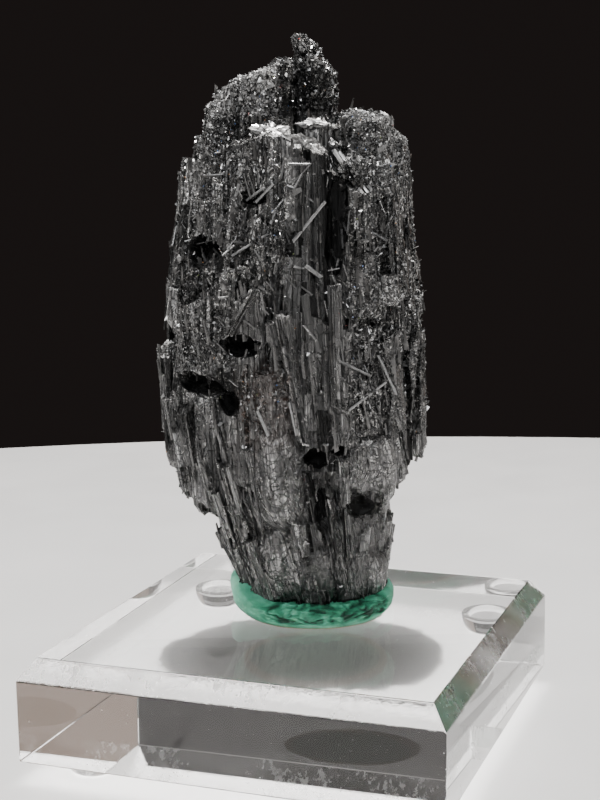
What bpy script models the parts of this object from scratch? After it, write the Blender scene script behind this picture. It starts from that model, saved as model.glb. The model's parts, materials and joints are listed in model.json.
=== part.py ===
"""A cluster of black tourmaline pressed into a pad of putty on a clear acrylic display block.

Metres, +Z up. The origin is on the ground, at the centre of the block. Tables of the stone are in
millimetres, as (across, deep, height): across to the stone's right, deep towards its back, height
above the block's top face.
"""

import math
import random
from collections import namedtuple

import bmesh
import bpy
from mathutils import Matrix, Vector

MM = 0.001

# Driving dimensions, in millimetres
BLOCK_SIDE = 76.2
BLOCK_THICKNESS = 18.3
BEVEL_WIDTH = 3.8
BEVEL_HEIGHT = 3.6
FOOT_RADIUS = 5.1
FOOT_HEIGHT = 3.5
FOOT_INSET = 9.5
TOUCH_GAP = 0.3
STONE_TURN = math.radians(20.5)
STONE_PLACE = (0.0, 8.0)
PAD_RADIUS = 15.2
SEAT_TOP = 10.0
SEAT_CLEARANCE = 0.4

BLOCK_FLOOR = FOOT_HEIGHT + TOUCH_GAP
BLOCK_TOP = BLOCK_FLOOR + BLOCK_THICKNESS

# The stone's outline, as (height, across), and its depth in front of and behind its middle plane
LEFT_EDGE = (
    (0, -11.8), (5, -13.6), (11, -16.2), (17, -18.0), (19, -22.0), (24, -25.0), (30, -27.4),
    (36, -28.0), (49, -27.6), (54, -26.2), (62, -25.0), (76, -23.2), (83, -21.6), (90, -19.0),
    (96, -17.2), (99, -12.5), (102, -8.0), (106, -2.0),
)
RIGHT_EDGE = (
    (0, 11.8), (4, 14.2), (10, 15.2), (15, 16.2), (24, 16.8), (29, 20.4), (34, 21.6), (42, 20.2),
    (52, 19.8), (62, 20.2), (69, 19.2), (80, 19.2), (86, 17.8), (91, 13.6), (94, 8.0), (99, 5.2),
    (106, 0.6),
)
FRONT_DEPTH = (
    (0, 10.5), (10, 12.5), (20, 14.5), (34, 17.0), (50, 18.2), (70, 17.6), (84, 16.2), (92, 11.0),
    (106, 4.0),
)
BACK_DEPTH = (
    (0, 11.0), (12, 14.0), (26, 17.5), (45, 20.0), (66, 20.5), (82, 18.0), (94, 13.0), (106, 8.0),
)
OUTLINE_POWER = 2.5
WIDEST_SHARE = 0.985
FOOT_SINK = 1.5  # how much deeper a front crystal's foot is set than its tip

# A crystal: the middle of its foot and of its tip, its width and depth, its number of sides, how
# steeply its broken tip rises to the right and to the back, and its tip's size beside its foot's
Crystal = namedtuple("Crystal", "foot tip width depth sides rise taper", defaults=(6, (0, 0), 1.0))


def along(table, height):
    """The value at this height in a table of (height, value), straight between its rows."""
    if height <= table[0][0]:
        return table[0][1]
    for (low, first), (high, second) in zip(table, table[1:]):
        if height <= high:
            return first + (second - first) * (height - low) / (high - low)
    return table[-1][1]


def front_depth(across, height):
    """How deep the front of the outline lies at this place; it is negative, towards the front."""
    left = along(LEFT_EDGE, height)
    right = along(RIGHT_EDGE, height)
    share = min(WIDEST_SHARE, abs(across - (left + right) / 2) / ((right - left) / 2))
    return -along(FRONT_DEPTH, height) * (1 - share**OUTLINE_POWER) ** (1 / OUTLINE_POWER)


def front(foot, tip, width, proud=0.0, depth=6.0, sides=6, rise=(0.0, 0.0), taper=1.0):
    """A crystal on the front, from (across, height) to (across, height), this proud of the outline."""
    ends = [
        (across, front_depth(across, height) - proud + depth / 2 + sink, height)
        for (across, height), sink in ((foot, FOOT_SINK), (tip, 0))
    ]
    return Crystal(*ends, width, depth, sides, rise, taper)


CENTRE_COLUMNS = (
    front((-1.6, 55), (-2.6, 86.6), 3.2, 0.0, depth=3.4, rise=(-0.3, 0.8)),
    front((0.4, 24), (-0.2, 85.6), 2.2, -1.6),
    front((2.4, 40), (1.7, 85.4), 2.9, 0.5, depth=3.6, rise=(-0.2, 0.7)),
    front((4.7, 31), (4.1, 62.3), 3.3, 0.8, rise=(0.2, -0.2)),
    front((-1.7, 34.5), (-5.2, 57.6), 3.6, 1.3, rise=(-0.2, 0.3)),
    front((-4.6, 43), (-7.4, 56.4), 2.6, 0.2),
    front((0.8, 37), (-1.0, 61), 2.5, 0.2, rise=(0.3, 0)),
    front((1.8, 31.5), (1.2, 41), 4.4, 0.2, rise=(-0.2, 0.4)),
    front((5.2, 58), (4.6, 82), 4.8, -4.2),
    front((4.4, 64), (7.6, 77), 2.4, -1.0),
    front((8.6, 50), (8.2, 72), 3.0, -0.6),
    front((10.4, 77.4), (6.0, 82.8), 2.6, 1.2, depth=3.4, sides=4),
)
UPPER_LEFT = (
    front((-6.0, 66), (-5.4, 88.6), 6.8, -0.4, depth=3.6, rise=(0.05, 0.8)),
    front((-12.2, 67), (-12.0, 86), 6.0, -1.0, depth=8, rise=(0.4, 0.3)),
    front((-8.6, 62), (-9.2, 74), 3.2, 0.2, rise=(0.3, 0.4)),
    front((-17.6, 78), (-15.6, 94.0), 5.4, -0.2, depth=9, rise=(0.4, 0.2)),
    front((-19.7, 69.4), (-18.7, 77.5), 4.6, 0.9, depth=5, rise=(0.2, 0.3)),
    front((-15.4, 69), (-15.2, 80.5), 3.4, 0.4, depth=5, rise=(-0.3, 0.3)),
    front((-22.2, 54), (-21.2, 67.4), 4.6, -0.2, depth=7, rise=(-0.2, 0.6)),
    front((-18.1, 52), (-17.4, 66), 2.9, 0.4, rise=(0.1, 0.7)),
    front((-14.4, 53.8), (-13.4, 66.4), 3.0, 0.3, rise=(0.2, 0.7)),
    front((-11.4, 53), (-11.4, 66.2), 2.6, 0.8, rise=(0, 0.8)),
    front((-9.0, 50), (-10.2, 63.5), 2.8, 0.1),
    front((-15.0, 52.4), (-9.6, 62), 1.6, 1.4, depth=2.4, sides=4),
)
LOWER_LEFT = (
    front((-20.2, 45.6), (-21.6, 55), 6.6, 0.4, depth=8, rise=(-0.2, 0.4)),
    front((-25.2, 28), (-26.2, 50), 4.4, 0.0, depth=9, rise=(0.2, 0.2)),
    front((-22.2, 22.6), (-25.2, 42.8), 4.4, 0.4, depth=8, rise=(0.5, 0.3)),
    front((-19.8, 20.2), (-22.4, 41.6), 4.8, 0.6, depth=9, rise=(0.4, 0.3)),
    front((-17.6, 20.8), (-19.9, 32.6), 3.4, 1.3, depth=6, rise=(0.6, 0.4)),
    front((-13.8, 33), (-13.9, 49.8), 4.2, 0.5, depth=6, rise=(0.1, 0.6)),
    front((-8.4, 32.5), (-8.0, 47.6), 9.0, 0.0, depth=8, sides=7, rise=(-0.1, 0.5)),
    front((-5.2, 16.5), (-7.4, 36.6), 9.0, 0.6, depth=9, sides=8, rise=(0.2, 0.5)),
    front((-9.8, 2.2), (-15.8, 31), 3.6, 0.5, depth=7),
    front((-12.2, 4.4), (-17.6, 26), 3.0, 0.2, depth=7),
    front((-8.0, 6), (-11.8, 34), 2.8, 0.2),
    front((-5.4, 2.0), (-7.6, 18.4), 8.0, 0.3, depth=8, sides=7, rise=(0, 0.6)),
)
LOWER_RIGHT = (
    front((2.0, 2.4), (0.6, 14.6), 7.6, 0.2, depth=8, sides=7, rise=(0.2, 0.5)),
    front((1.2, 13), (-1.4, 29.4), 2.0, -0.2),
    front((4.3, 11), (2.9, 23), 2.0, 0.0, rise=(0.3, 0)),
    front((2.8, 23.4), (1.8, 31), 2.8, -0.6),
    front((6.3, 12), (5.3, 31.4), 2.4, 0.4),
    front((11.6, 22), (10.2, 35.4), 9.8, 0.4, depth=9, sides=8, rise=(-0.2, 0.6)),
    front((10.4, 9.6), (10.6, 24), 7.4, -1.2, depth=8, sides=7),
    front((10.4, 3.6), (10.3, 12.2), 7.2, 0.3, depth=8, sides=7, rise=(0.2, 0.7)),
    front((16.9, 28.4), (12.6, 53), 5.4, 0.8, depth=6, rise=(0.2, 0.2)),
    front((10.2, 33), (8.4, 54), 4.4, -0.4, depth=7, rise=(-0.3, 0.2)),
    front((13.4, 50), (12.6, 72), 8.6, -0.3, depth=9, sides=7, rise=(0.3, 0.3)),
    front((18.8, 53.6), (16.6, 59.4), 4.2, 1.3, depth=4, sides=4, rise=(-0.3, 0)),
)
SHOULDERS = (
    Crystal((12.4, -4, 64), (11.0, -3, 91.6), 8.4, 22, 7, (-0.15, 0.12)),
    Crystal((16.2, -1, 60), (15.4, 0, 88.4), 6.4, 18, 6, (-0.6, 0.05)),
    Crystal((8.6, 0, 66), (8.0, 1, 92.0), 5.4, 20, 6, (0.1, 0.1)),
    Crystal((-9.0, 0, 74), (-8.4, 2, 99.6), 12.0, 17, 7, (0.36, 0.1)),
    Crystal((-14.8, 1, 72), (-13.2, 2, 96.2), 7.2, 15, 6, (0.3, -0.1)),
    Crystal((-4.6, 3, 80), (-4.4, 4, 101.4), 5.6, 12, 6, (0.1, 0.2)),
    Crystal((2.4, 4, 78), (1.5, 4, 102.6), 9.6, 12, 7, (-0.8, 0.2), 0.82),
    Crystal((-0.8, 4, 84), (-0.6, 4, 105.6), 3.8, 7, 5, (-0.3, 0.2)),
    Crystal((1.2, 4.5, 84), (1.0, 4.5, 104.4), 4.6, 9, 6, (-0.7, 0.1)),
    Crystal((1.4, -6, 80), (1.3, -8.6, 89.6), 5.6, 3.2, 6, (0.15, 0.8)),
    Crystal((5.2, -9, 80), (5.3, -9, 89.4), 2.8, 5, 5, (0.1, 0.3)),
)
SIDE_CHIPS = (
    Crystal((19.4, 0, 28.6), (19.4, 0, 52), 3.6, 8, 6, (0.3, 0.1)),
    Crystal((20.0, 2, 29.2), (20.2, 1, 40), 3.2, 9, 6, (-0.4, 0.1)),
    Crystal((18.6, 1, 57), (19.0, 0, 65), 3.0, 7, 6, (-0.4, 0.2)),
    Crystal((16.1, 0, 16.4), (16.7, -1, 22.0), 2.8, 5, 5, (-0.4, 0.1)),
    Crystal((-22.6, 0, 70), (-21.8, 0, 82), 3.0, 10, 6, (0.3, 0)),
    Crystal((-26.2, 1, 30), (-26.6, 1, 49), 3.4, 12, 6, (0.3, 0.1)),
)

# Pits and grooves broken into the stone: their middle as (across, height), width, height, depth and
# how far they lean over, in degrees
Pit = namedtuple("Pit", "middle width height depth lean", defaults=(0,))
PITS = (
    Pit((-19.2, 68.0), 7.4, 5.0, 7.0, 4),
    Pit((-12.6, 51.8), 6.6, 4.0, 6.0, -6),
    Pit((-20.2, 44.6), 9.6, 3.6, 6.5, -14),
    Pit((-14.6, 41.6), 3.4, 4.6, 5.5, 20),
    Pit((4.9, 73.0), 3.8, 17.0, 5.0, -4),
    Pit((17.6, 38.0), 1.7, 22.0, 5.0, 4),
    Pit((0.4, 31.2), 4.2, 3.6, 5.0, -10),
    Pit((4.6, 32.4), 3.2, 2.2, 4.5, 0),
    Pit((1.4, 21.6), 2.6, 5.0, 4.5, 0),
    Pit((8.6, 21.4), 5.0, 4.2, 3.6, 10),
    Pit((-9.6, 77.4), 5.0, 3.0, 4.5, -10),
)
PIT_SIDES = 9
PIT_CLEAR = 4.0  # how far a pit's cutter stands out in front of the stone
PIT_FLARE = 1.5
PIT_REACH = (0.84, 1.2)  # how unequal a pit's sides are


def lie_at(across, deep, height):
    """A place on the stone, in the world, in metres."""
    turned = Matrix.Rotation(STONE_TURN, 3, "Z") @ Vector((across, deep, 0))
    return MM * Vector((turned.x + STONE_PLACE[0], turned.y + STONE_PLACE[1], BLOCK_TOP + height))


def outline_point(angle, height, inset):
    """A place this far inside the outline, at an angle round the stone from its right side."""
    left = along(LEFT_EDGE, height)
    right = along(RIGHT_EDGE, height)
    depths = BACK_DEPTH if math.sin(angle) > 0 else FRONT_DEPTH
    power = 2 / OUTLINE_POWER
    across = math.copysign(abs(math.cos(angle)) ** power, math.cos(angle))
    deep = math.copysign(abs(math.sin(angle)) ** power, math.sin(angle))
    half = max(1.0, (right - left) / 2 - inset)
    reach = max(1.0, along(depths, height) - inset)
    return ((left + right) / 2 + half * across, reach * deep, height)


# Rings of columns that fill the stone out: their lowest foot, highest tip, number, width, depth,
# how far inside the outline they stand, and the arc they cover, in degrees from the right side
Ring = namedtuple("Ring", "foot tip count width depth inset arc")
RINGS = (
    Ring(2.0, 20.0, 11, 8.5, 8.0, (3.6, 5.0), (0, 360)),
    Ring(20.0, 62.0, 14, 10.5, 9.0, (3.8, 5.6), (0, 360)),
    Ring(52.0, 88.0, 13, 10.0, 9.0, (3.8, 5.6), (0, 360)),
    Ring(2.2, 16.5, 11, 7.0, 6.0, (3.0, 4.4), (-28, 212)),
    Ring(20.4, 48.0, 11, 7.4, 6.4, (2.8, 4.8), (-24, 206)),
    Ring(38.0, 72.0, 12, 7.4, 6.4, (2.8, 4.8), (-20, 204)),
    Ring(60.0, 91.0, 11, 7.2, 6.4, (2.8, 4.8), (-20, 204)),
)
RING_SEED = 7


def ring_columns():
    """The seeded columns of the rings, each with its own lengths, widths and broken tip."""
    chance = random.Random(RING_SEED)
    for ring in RINGS:
        for i in range(ring.count):
            first, last = (math.radians(a) for a in ring.arc)
            angle = first + (last - first) * (i + chance.uniform(0.2, 0.8)) / ring.count
            length = ring.tip - ring.foot
            foot = ring.foot + length * chance.uniform(0.0, 0.18)
            tip = ring.tip - length * chance.uniform(0.0, 0.26)
            inset = chance.uniform(*ring.inset)
            yield Crystal(
                outline_point(angle + chance.uniform(-0.06, 0.06), foot, inset),
                outline_point(angle, tip, inset),
                ring.width * chance.uniform(0.8, 1.15),
                ring.depth * chance.uniform(0.85, 1.2),
                chance.choice((5, 6, 6, 7)),
                (chance.uniform(-0.5, 0.5), chance.uniform(-0.5, 0.5)),
            )


# The solid heart of the stone, which the crystals grow out of: heights where its slope changes,
# and how far inside the outline it stays, as (height, inset)
CORE_LEVELS = (1.4, 8.0, 15.0, 19.0, 24.0, 31.0, 40.0, 52.0, 64.0, 74.0, 82.0, 88.0)
CORE_INSET = ((0, 1.5), (18, 2.4), (62, 2.4), (78, 3.2), (84, 5.4), (88, 8.0))
CORE_SIDES = 18


# The putty's cage round the stone, from its right side: how high it rises and how far it spreads
PAD_SIDES = 16
PAD_HEIGHT = (3.6, 4.0, 4.8, 5.2, 5.6, 6.0, 6.6, 7.2, 7.6, 7.2, 5.2, 3.4, 2.8, 2.6, 2.8, 3.4)
PAD_SPREAD = (
    0.94, 0.95, 0.98, 0.98, 0.97, 1.0, 1.02, 1.01, 0.99, 1.0, 1.02, 1.04, 1.04, 1.05, 1.03, 0.98
)
# The cage's rings: share of the height, share of the radius
PAD_PROFILE = ((0, 0.4), (0, 0.92), (0.14, 1.04), (0.6, 1.09), (0.98, 1.04), (1.04, 0.86), (0.9, 0.5))


def material(name, colour, roughness, metallic=0.0, transmission=0.0, ior=1.45):
    made = bpy.data.materials.new(name)
    made.use_nodes = True
    shader = made.node_tree.nodes["Principled BSDF"]
    shader.inputs["Base Color"].default_value = (*colour, 1)
    shader.inputs["Roughness"].default_value = roughness
    shader.inputs["Metallic"].default_value = metallic
    shader.inputs["Transmission Weight"].default_value = transmission
    shader.inputs["IOR"].default_value = ior
    return made


def add_object(name, mesh, collection, finish=None):
    made = bpy.data.objects.new(name, mesh)
    collection.objects.link(made)
    if finish:
        mesh.materials.append(finish)
    return made


def mesh_from(shape, name):
    """The mesh of a bmesh, its faces turned out."""
    bmesh.ops.recalc_face_normals(shape, faces=shape.faces)
    mesh = bpy.data.meshes.new(name)
    shape.to_mesh(mesh)
    shape.free()
    return mesh


def crystal_mesh(crystal, seed):
    """A flat-faced prism of unequal sides from its foot to its slanting broken tip."""
    chance = random.Random(seed)
    foot = lie_at(*crystal.foot)
    tip = lie_at(*crystal.tip)
    axis = (tip - foot).normalized()
    length = (tip - foot).length
    # The prism's width stays across the stone and its depth into it, whatever its lean
    across = Matrix.Rotation(STONE_TURN, 3, "Z") @ Vector((1, 0, 0))
    across = (across - axis * across.dot(axis)).normalized()
    upright = Matrix((across, axis.cross(across), axis)).transposed().to_4x4()
    phase = chance.uniform(0, math.tau)
    reach = [chance.uniform(0.86, 1.08) for _ in range(crystal.sides)]
    shape = bmesh.new()
    bmesh.ops.create_cone(
        shape, cap_ends=True, segments=crystal.sides, radius1=1, radius2=crystal.taper, depth=1
    )
    for vert in shape.verts:
        turn = math.atan2(vert.co.y, vert.co.x)
        size = math.hypot(vert.co.x, vert.co.y) * reach[round(turn / math.tau * crystal.sides)]
        x = size * math.cos(turn + phase) * crystal.width / 2
        y = size * math.sin(turn + phase) * crystal.depth / 2
        rise = crystal.rise[0] * x + crystal.rise[1] * y if vert.co.z > 0 else 0
        vert.co = Vector((x * MM, y * MM, rise * MM + length * (vert.co.z + 0.5)))
    bmesh.ops.transform(shape, matrix=Matrix.Translation(foot) @ upright, verts=shape.verts)
    return mesh_from(shape, "crystal")


def pit_mesh(pit, seed):
    """An uneven wedge that widens towards the front, where it stands clear of the stone."""
    chance = random.Random(seed)
    reach = [chance.uniform(*PIT_REACH) for _ in range(PIT_SIDES)]
    across, height = pit.middle
    length = pit.depth + PIT_CLEAR
    mouth = front_depth(across, height) - PIT_CLEAR
    shape = bmesh.new()
    bmesh.ops.create_cone(
        shape, cap_ends=True, segments=PIT_SIDES, radius1=1, radius2=PIT_FLARE, depth=length
    )
    lean = Matrix.Rotation(math.radians(pit.lean), 2)
    for vert in shape.verts:
        side = round(math.atan2(vert.co.y, vert.co.x) / math.tau * PIT_SIDES + 0.25)
        flat = Vector((vert.co.x * pit.width / 2, vert.co.y * pit.height / 2))
        aside = lean @ (flat * reach[side % PIT_SIDES])
        deep = mouth + length / 2 - vert.co.z
        vert.co = lie_at(across + aside.x, deep, height + aside.y)
    return mesh_from(shape, "pit")


def core_mesh():
    """The heart of the stone: a stack of oval rings inside the outline, closed at both ends."""
    shape = bmesh.new()
    rings = []
    for height in CORE_LEVELS:
        ring = bmesh.ops.create_circle(shape, segments=CORE_SIDES, radius=1)["verts"]
        for i, vert in enumerate(ring):
            inset = along(CORE_INSET, height)
            vert.co = lie_at(*outline_point(math.tau * i / CORE_SIDES, height, inset))
        rings.append(ring)
    for lower, upper in zip(rings, rings[1:]):
        for i in range(CORE_SIDES):
            j = (i + 1) % CORE_SIDES
            shape.faces.new((lower[i], lower[j], upper[j], upper[i]))
    shape.faces.new(list(reversed(rings[0])))
    shape.faces.new(rings[-1])
    return mesh_from(shape, "core")


def keep_outer_shell(mesh):
    """Removes the walls of any hollow that the crystals shut in, which leaves the stone solid."""
    shape = bmesh.new()
    shape.from_mesh(mesh)
    unseen = set(shape.verts)
    shells = []
    while unseen:
        edge_of_shell = [unseen.pop()]
        shell = set(edge_of_shell)
        while edge_of_shell:
            vert = edge_of_shell.pop()
            near = {edge.other_vert(vert) for edge in vert.link_edges} - shell
            shell |= near
            edge_of_shell += near
        unseen -= shell
        shells.append(shell)
    outer = max(shells, key=len)
    inner = [vert for shell in shells if shell is not outer for vert in shell]
    bmesh.ops.delete(shape, geom=inner, context="VERTS")
    shape.to_mesh(mesh)
    shape.free()


def combine(obj, operation, meshes, cutters):
    """Joins these meshes to the object or cuts them from it, and removes them."""
    others = bpy.data.collections.new("loose pieces")
    cutters.children.link(others)
    for i, mesh in enumerate(meshes):
        other = add_object(f"{operation.lower()}_{i:03d}", mesh, others)
        other.display_type = "WIRE"
        other.hide_render = True
    modifier = obj.modifiers.new(operation.lower(), "BOOLEAN")
    modifier.operation = operation
    modifier.operand_type = "COLLECTION"
    modifier.collection = others
    modifier.solver = "EXACT"
    bpy.context.view_layer.update()
    graph = bpy.context.evaluated_depsgraph_get()
    mesh = bpy.data.meshes.new_from_object(obj.evaluated_get(graph))
    keep_outer_shell(mesh)
    obj.modifiers.clear()
    obj.data = mesh
    for other in list(others.objects):
        bpy.data.objects.remove(other)
    bpy.data.collections.remove(others)


def build_stone(collection, cutters, finish):
    """The crystals and their core, joined in one solid and broken away at the pits."""
    crystals = [
        *CENTRE_COLUMNS, *UPPER_LEFT, *LOWER_LEFT, *LOWER_RIGHT, *SHOULDERS, *SIDE_CHIPS,
        *ring_columns(),
    ]
    core = add_object("stone_core", core_mesh(), cutters)
    meshes = [crystal_mesh(crystal, seed) for seed, crystal in enumerate(crystals)]
    combine(core, "UNION", meshes, cutters)
    combine(core, "DIFFERENCE", [pit_mesh(pit, seed) for seed, pit in enumerate(PITS)], cutters)
    mesh = core.data
    bpy.data.objects.remove(core)
    mesh.name = "tourmaline"
    mesh.materials.clear()
    return add_object("tourmaline", mesh, collection, finish)


def build_seat(stone, cutters):
    """The hollow that the foot of the stone presses into the putty, a touch larger than the foot."""
    top = (BLOCK_TOP + SEAT_TOP) * MM
    below = bmesh.new()
    below.from_mesh(stone.data)
    bmesh.ops.bisect_plane(
        below,
        geom=[*below.verts, *below.edges, *below.faces],
        plane_co=(0, 0, top),
        plane_no=(0, 0, 1),
        clear_outer=True,
    )
    places = [vert.co.copy() for vert in below.verts]
    below.free()
    middle = sum(places, Vector()) / len(places)
    shape = bmesh.new()
    for place in places:
        out = Vector((place.x - middle.x, place.y - middle.y, 0)).normalized()
        lift = SEAT_CLEARANCE if place.z > middle.z else -SEAT_CLEARANCE
        shape.verts.new(place + (out * SEAT_CLEARANCE + Vector((0, 0, lift))) * MM)
    bmesh.ops.convex_hull(shape, input=shape.verts)
    bmesh.ops.delete(shape, geom=[v for v in shape.verts if not v.link_faces], context="VERTS")
    seat = add_object("putty_seat", mesh_from(shape, "putty_seat"), cutters)
    seat.display_type = "WIRE"
    seat.hide_render = True
    return seat


def build_putty(seat, collection, finish):
    """The pad of putty: a soft cage, high at its sides, low in front, hollowed by the foot."""
    shape = bmesh.new()
    rings = []
    for height_share, radius_share in PAD_PROFILE:
        ring = bmesh.ops.create_circle(shape, segments=PAD_SIDES, radius=1)["verts"]
        for i, vert in enumerate(ring):
            radius = PAD_RADIUS * radius_share * PAD_SPREAD[i]
            height = TOUCH_GAP + PAD_HEIGHT[i] * height_share
            turn = math.tau * i / PAD_SIDES
            vert.co = lie_at(radius * math.cos(turn), radius * math.sin(turn), height)
        rings.append(ring)
    for lower, upper in zip(rings, rings[1:]):
        for i in range(PAD_SIDES):
            j = (i + 1) % PAD_SIDES
            shape.faces.new((lower[i], lower[j], upper[j], upper[i]))
    shape.faces.new(list(reversed(rings[0])))
    shape.faces.new(rings[-1])
    putty = add_object("mounting_putty", mesh_from(shape, "mounting_putty"), collection, finish)
    soft = putty.modifiers.new("soft form", "SUBSURF")
    soft.levels = 1
    soft.render_levels = 1
    pressed = putty.modifiers.new("pressed by the stone", "BOOLEAN")
    pressed.operation = "DIFFERENCE"
    pressed.object = seat
    pressed.solver = "EXACT"
    putty.data.shade_smooth()
    return putty


def build_block(collection, finish):
    """The clear block, its top edges cut back in flat bevels."""
    shape = bmesh.new()
    bmesh.ops.create_cube(shape, size=1)
    for vert in shape.verts:
        vert.co.x *= BLOCK_SIDE * MM
        vert.co.y *= BLOCK_SIDE * MM
        vert.co.z = (vert.co.z + 0.5) * BLOCK_THICKNESS * MM
    top = max(shape.faces, key=lambda face: face.calc_center_median().z)
    bmesh.ops.inset_region(shape, faces=[top], thickness=BEVEL_WIDTH * MM)
    rim = {vert for edge in top.edges for face in edge.link_faces for vert in face.verts}
    rim -= set(top.verts)
    for vert in rim:
        vert.co.z -= BEVEL_HEIGHT * MM
    block = add_object("acrylic_base", mesh_from(shape, "acrylic_base"), collection, finish)
    block.location.z = BLOCK_FLOOR * MM
    return block


def build_feet(collection, finish):
    """Four round bumpers, each a turned profile: flat below, domed at the rim."""
    profile = (
        (0, FOOT_HEIGHT), (0.94, FOOT_HEIGHT), (1.0, 0.86 * FOOT_HEIGHT), (0.93, 0.42 * FOOT_HEIGHT),
        (0.78, 0.1 * FOOT_HEIGHT), (0.62, 0), (0, 0),
    )
    place = BLOCK_SIDE / 2 - FOOT_INSET
    for depth_name, y in (("front", -place), ("back", place)):
        for side_name, x in (("left", -place), ("right", place)):
            shape = bmesh.new()
            points = [shape.verts.new((share * FOOT_RADIUS * MM, 0, z * MM)) for share, z in profile]
            for start, end in zip(points, points[1:]):
                shape.edges.new((start, end))
            name = f"foot_{depth_name}_{side_name}"
            mesh = bpy.data.meshes.new(name)
            shape.to_mesh(mesh)
            shape.free()
            foot = add_object(name, mesh, collection, finish)
            foot.location = (x * MM, y * MM, 0)
            turn = foot.modifiers.new("turned", "SCREW")
            turn.steps = 24
            turn.render_steps = 24
            turn.use_merge_vertices = True
            turn.merge_threshold = 0.00001
            turn.use_smooth_shade = True


def main():
    for obj in list(bpy.data.objects):
        bpy.data.objects.remove(obj)
    scene = bpy.context.scene
    pieces = bpy.data.collections.new("black tourmaline on an acrylic base")
    cutters = bpy.data.collections.new("cutters")
    scene.collection.children.link(pieces)
    scene.collection.children.link(cutters)
    stone_finish = material("tourmaline black", (0.012, 0.012, 0.013), 0.32, ior=1.63)
    putty_finish = material("putty green", (0.15, 0.46, 0.29), 0.6)
    acrylic_finish = material("clear acrylic", (1, 1, 1), 0.02, transmission=1.0, ior=1.49)
    bumper_finish = material("clear rubber", (0.96, 0.96, 0.95), 0.15, transmission=1.0, ior=1.5)
    stone = build_stone(pieces, cutters, stone_finish)
    seat = build_seat(stone, cutters)
    build_putty(seat, pieces, putty_finish)
    build_block(pieces, acrylic_finish)
    build_feet(pieces, bumper_finish)


main()
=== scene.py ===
import json
import math
import random
from collections import namedtuple

import bmesh
import bpy
import numpy as np
from mathutils import Matrix, Vector, noise

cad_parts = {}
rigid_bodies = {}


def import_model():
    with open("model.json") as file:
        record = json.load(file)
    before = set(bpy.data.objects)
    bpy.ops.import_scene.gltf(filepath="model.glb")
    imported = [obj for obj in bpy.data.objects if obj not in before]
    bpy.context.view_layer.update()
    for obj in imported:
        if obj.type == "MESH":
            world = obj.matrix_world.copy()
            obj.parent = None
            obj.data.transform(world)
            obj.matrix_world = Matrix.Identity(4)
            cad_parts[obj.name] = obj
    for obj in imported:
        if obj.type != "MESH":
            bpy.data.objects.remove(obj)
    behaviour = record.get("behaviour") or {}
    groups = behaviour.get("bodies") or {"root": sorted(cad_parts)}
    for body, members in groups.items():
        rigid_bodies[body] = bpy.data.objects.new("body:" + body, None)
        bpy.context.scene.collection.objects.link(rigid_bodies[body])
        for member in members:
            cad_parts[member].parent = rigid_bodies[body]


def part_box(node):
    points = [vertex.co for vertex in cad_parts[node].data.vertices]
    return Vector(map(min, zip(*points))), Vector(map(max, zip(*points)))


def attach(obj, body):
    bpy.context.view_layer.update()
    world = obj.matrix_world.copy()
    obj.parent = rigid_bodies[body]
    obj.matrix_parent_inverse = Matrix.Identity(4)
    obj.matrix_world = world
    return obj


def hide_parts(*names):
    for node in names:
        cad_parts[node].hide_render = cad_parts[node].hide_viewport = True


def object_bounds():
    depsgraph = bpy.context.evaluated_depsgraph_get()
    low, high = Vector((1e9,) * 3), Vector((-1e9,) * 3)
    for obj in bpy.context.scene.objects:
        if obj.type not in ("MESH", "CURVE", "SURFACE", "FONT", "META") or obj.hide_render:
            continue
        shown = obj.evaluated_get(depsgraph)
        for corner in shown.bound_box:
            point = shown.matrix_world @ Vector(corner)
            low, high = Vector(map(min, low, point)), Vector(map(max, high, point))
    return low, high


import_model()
cad_low, cad_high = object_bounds()

MM = 0.001

# Measures taken over from the frame, in millimetres
BLOCK_LOW, BLOCK_HIGH = (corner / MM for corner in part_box("acrylic_base"))
BLOCK_TOP = BLOCK_HIGH.z
STONE_TURN = math.radians(20.5)
STONE_PLACE = (0.0, 8.0)

# The stone's outline, as (height, across), and its depth in front of and behind its middle plane
LEFT_EDGE = (
    (0, -11.8), (5, -13.6), (11, -16.2), (17, -18.0), (19, -22.0), (24, -25.0), (30, -27.4),
    (36, -28.0), (49, -27.6), (54, -26.2), (62, -25.0), (76, -23.2), (83, -21.6), (90, -19.0),
    (96, -17.2), (99, -12.5), (102, -8.0), (106, -2.0),
)
RIGHT_EDGE = (
    (0, 11.8), (4, 14.2), (10, 15.2), (15, 16.2), (24, 16.8), (29, 20.4), (34, 21.6), (42, 20.2),
    (52, 19.8), (62, 20.2), (69, 19.2), (80, 19.2), (86, 17.8), (91, 13.6), (94, 8.0), (99, 5.2),
    (106, 0.6),
)
FRONT_DEPTH = (
    (0, 10.5), (10, 12.5), (20, 14.5), (34, 17.0), (50, 18.2), (70, 17.6), (84, 16.2), (92, 11.0),
    (106, 4.0),
)
BACK_DEPTH = (
    (0, 11.0), (12, 14.0), (26, 17.5), (45, 20.0), (66, 20.5), (82, 18.0), (94, 13.0), (106, 8.0),
)
OUTLINE_POWER = 2.5  # how square its level sections are: 2 would be an ellipse
WIDEST_SHARE = 0.985
FOOT_SINK = 1.5  # how much deeper in the stone a crystal's foot stands than its tip

FLUTED, LEDGED, SMOOTH, GRANULAR = "fluted", "ledged", "smooth", "granular"
Crystal = namedtuple(
    "Crystal", "foot tip width depth sides rise taper style", defaults=(6, (0, 0), 1.0, FLUTED)
)


def along(table, height):
    """The value at this height in a table of (height, value), straight between its rows."""
    if height <= table[0][0]:
        return table[0][1]
    for (low, first), (high, second) in zip(table, table[1:]):
        if height <= high:
            return first + (second - first) * (height - low) / (high - low)
    return table[-1][1]


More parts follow.
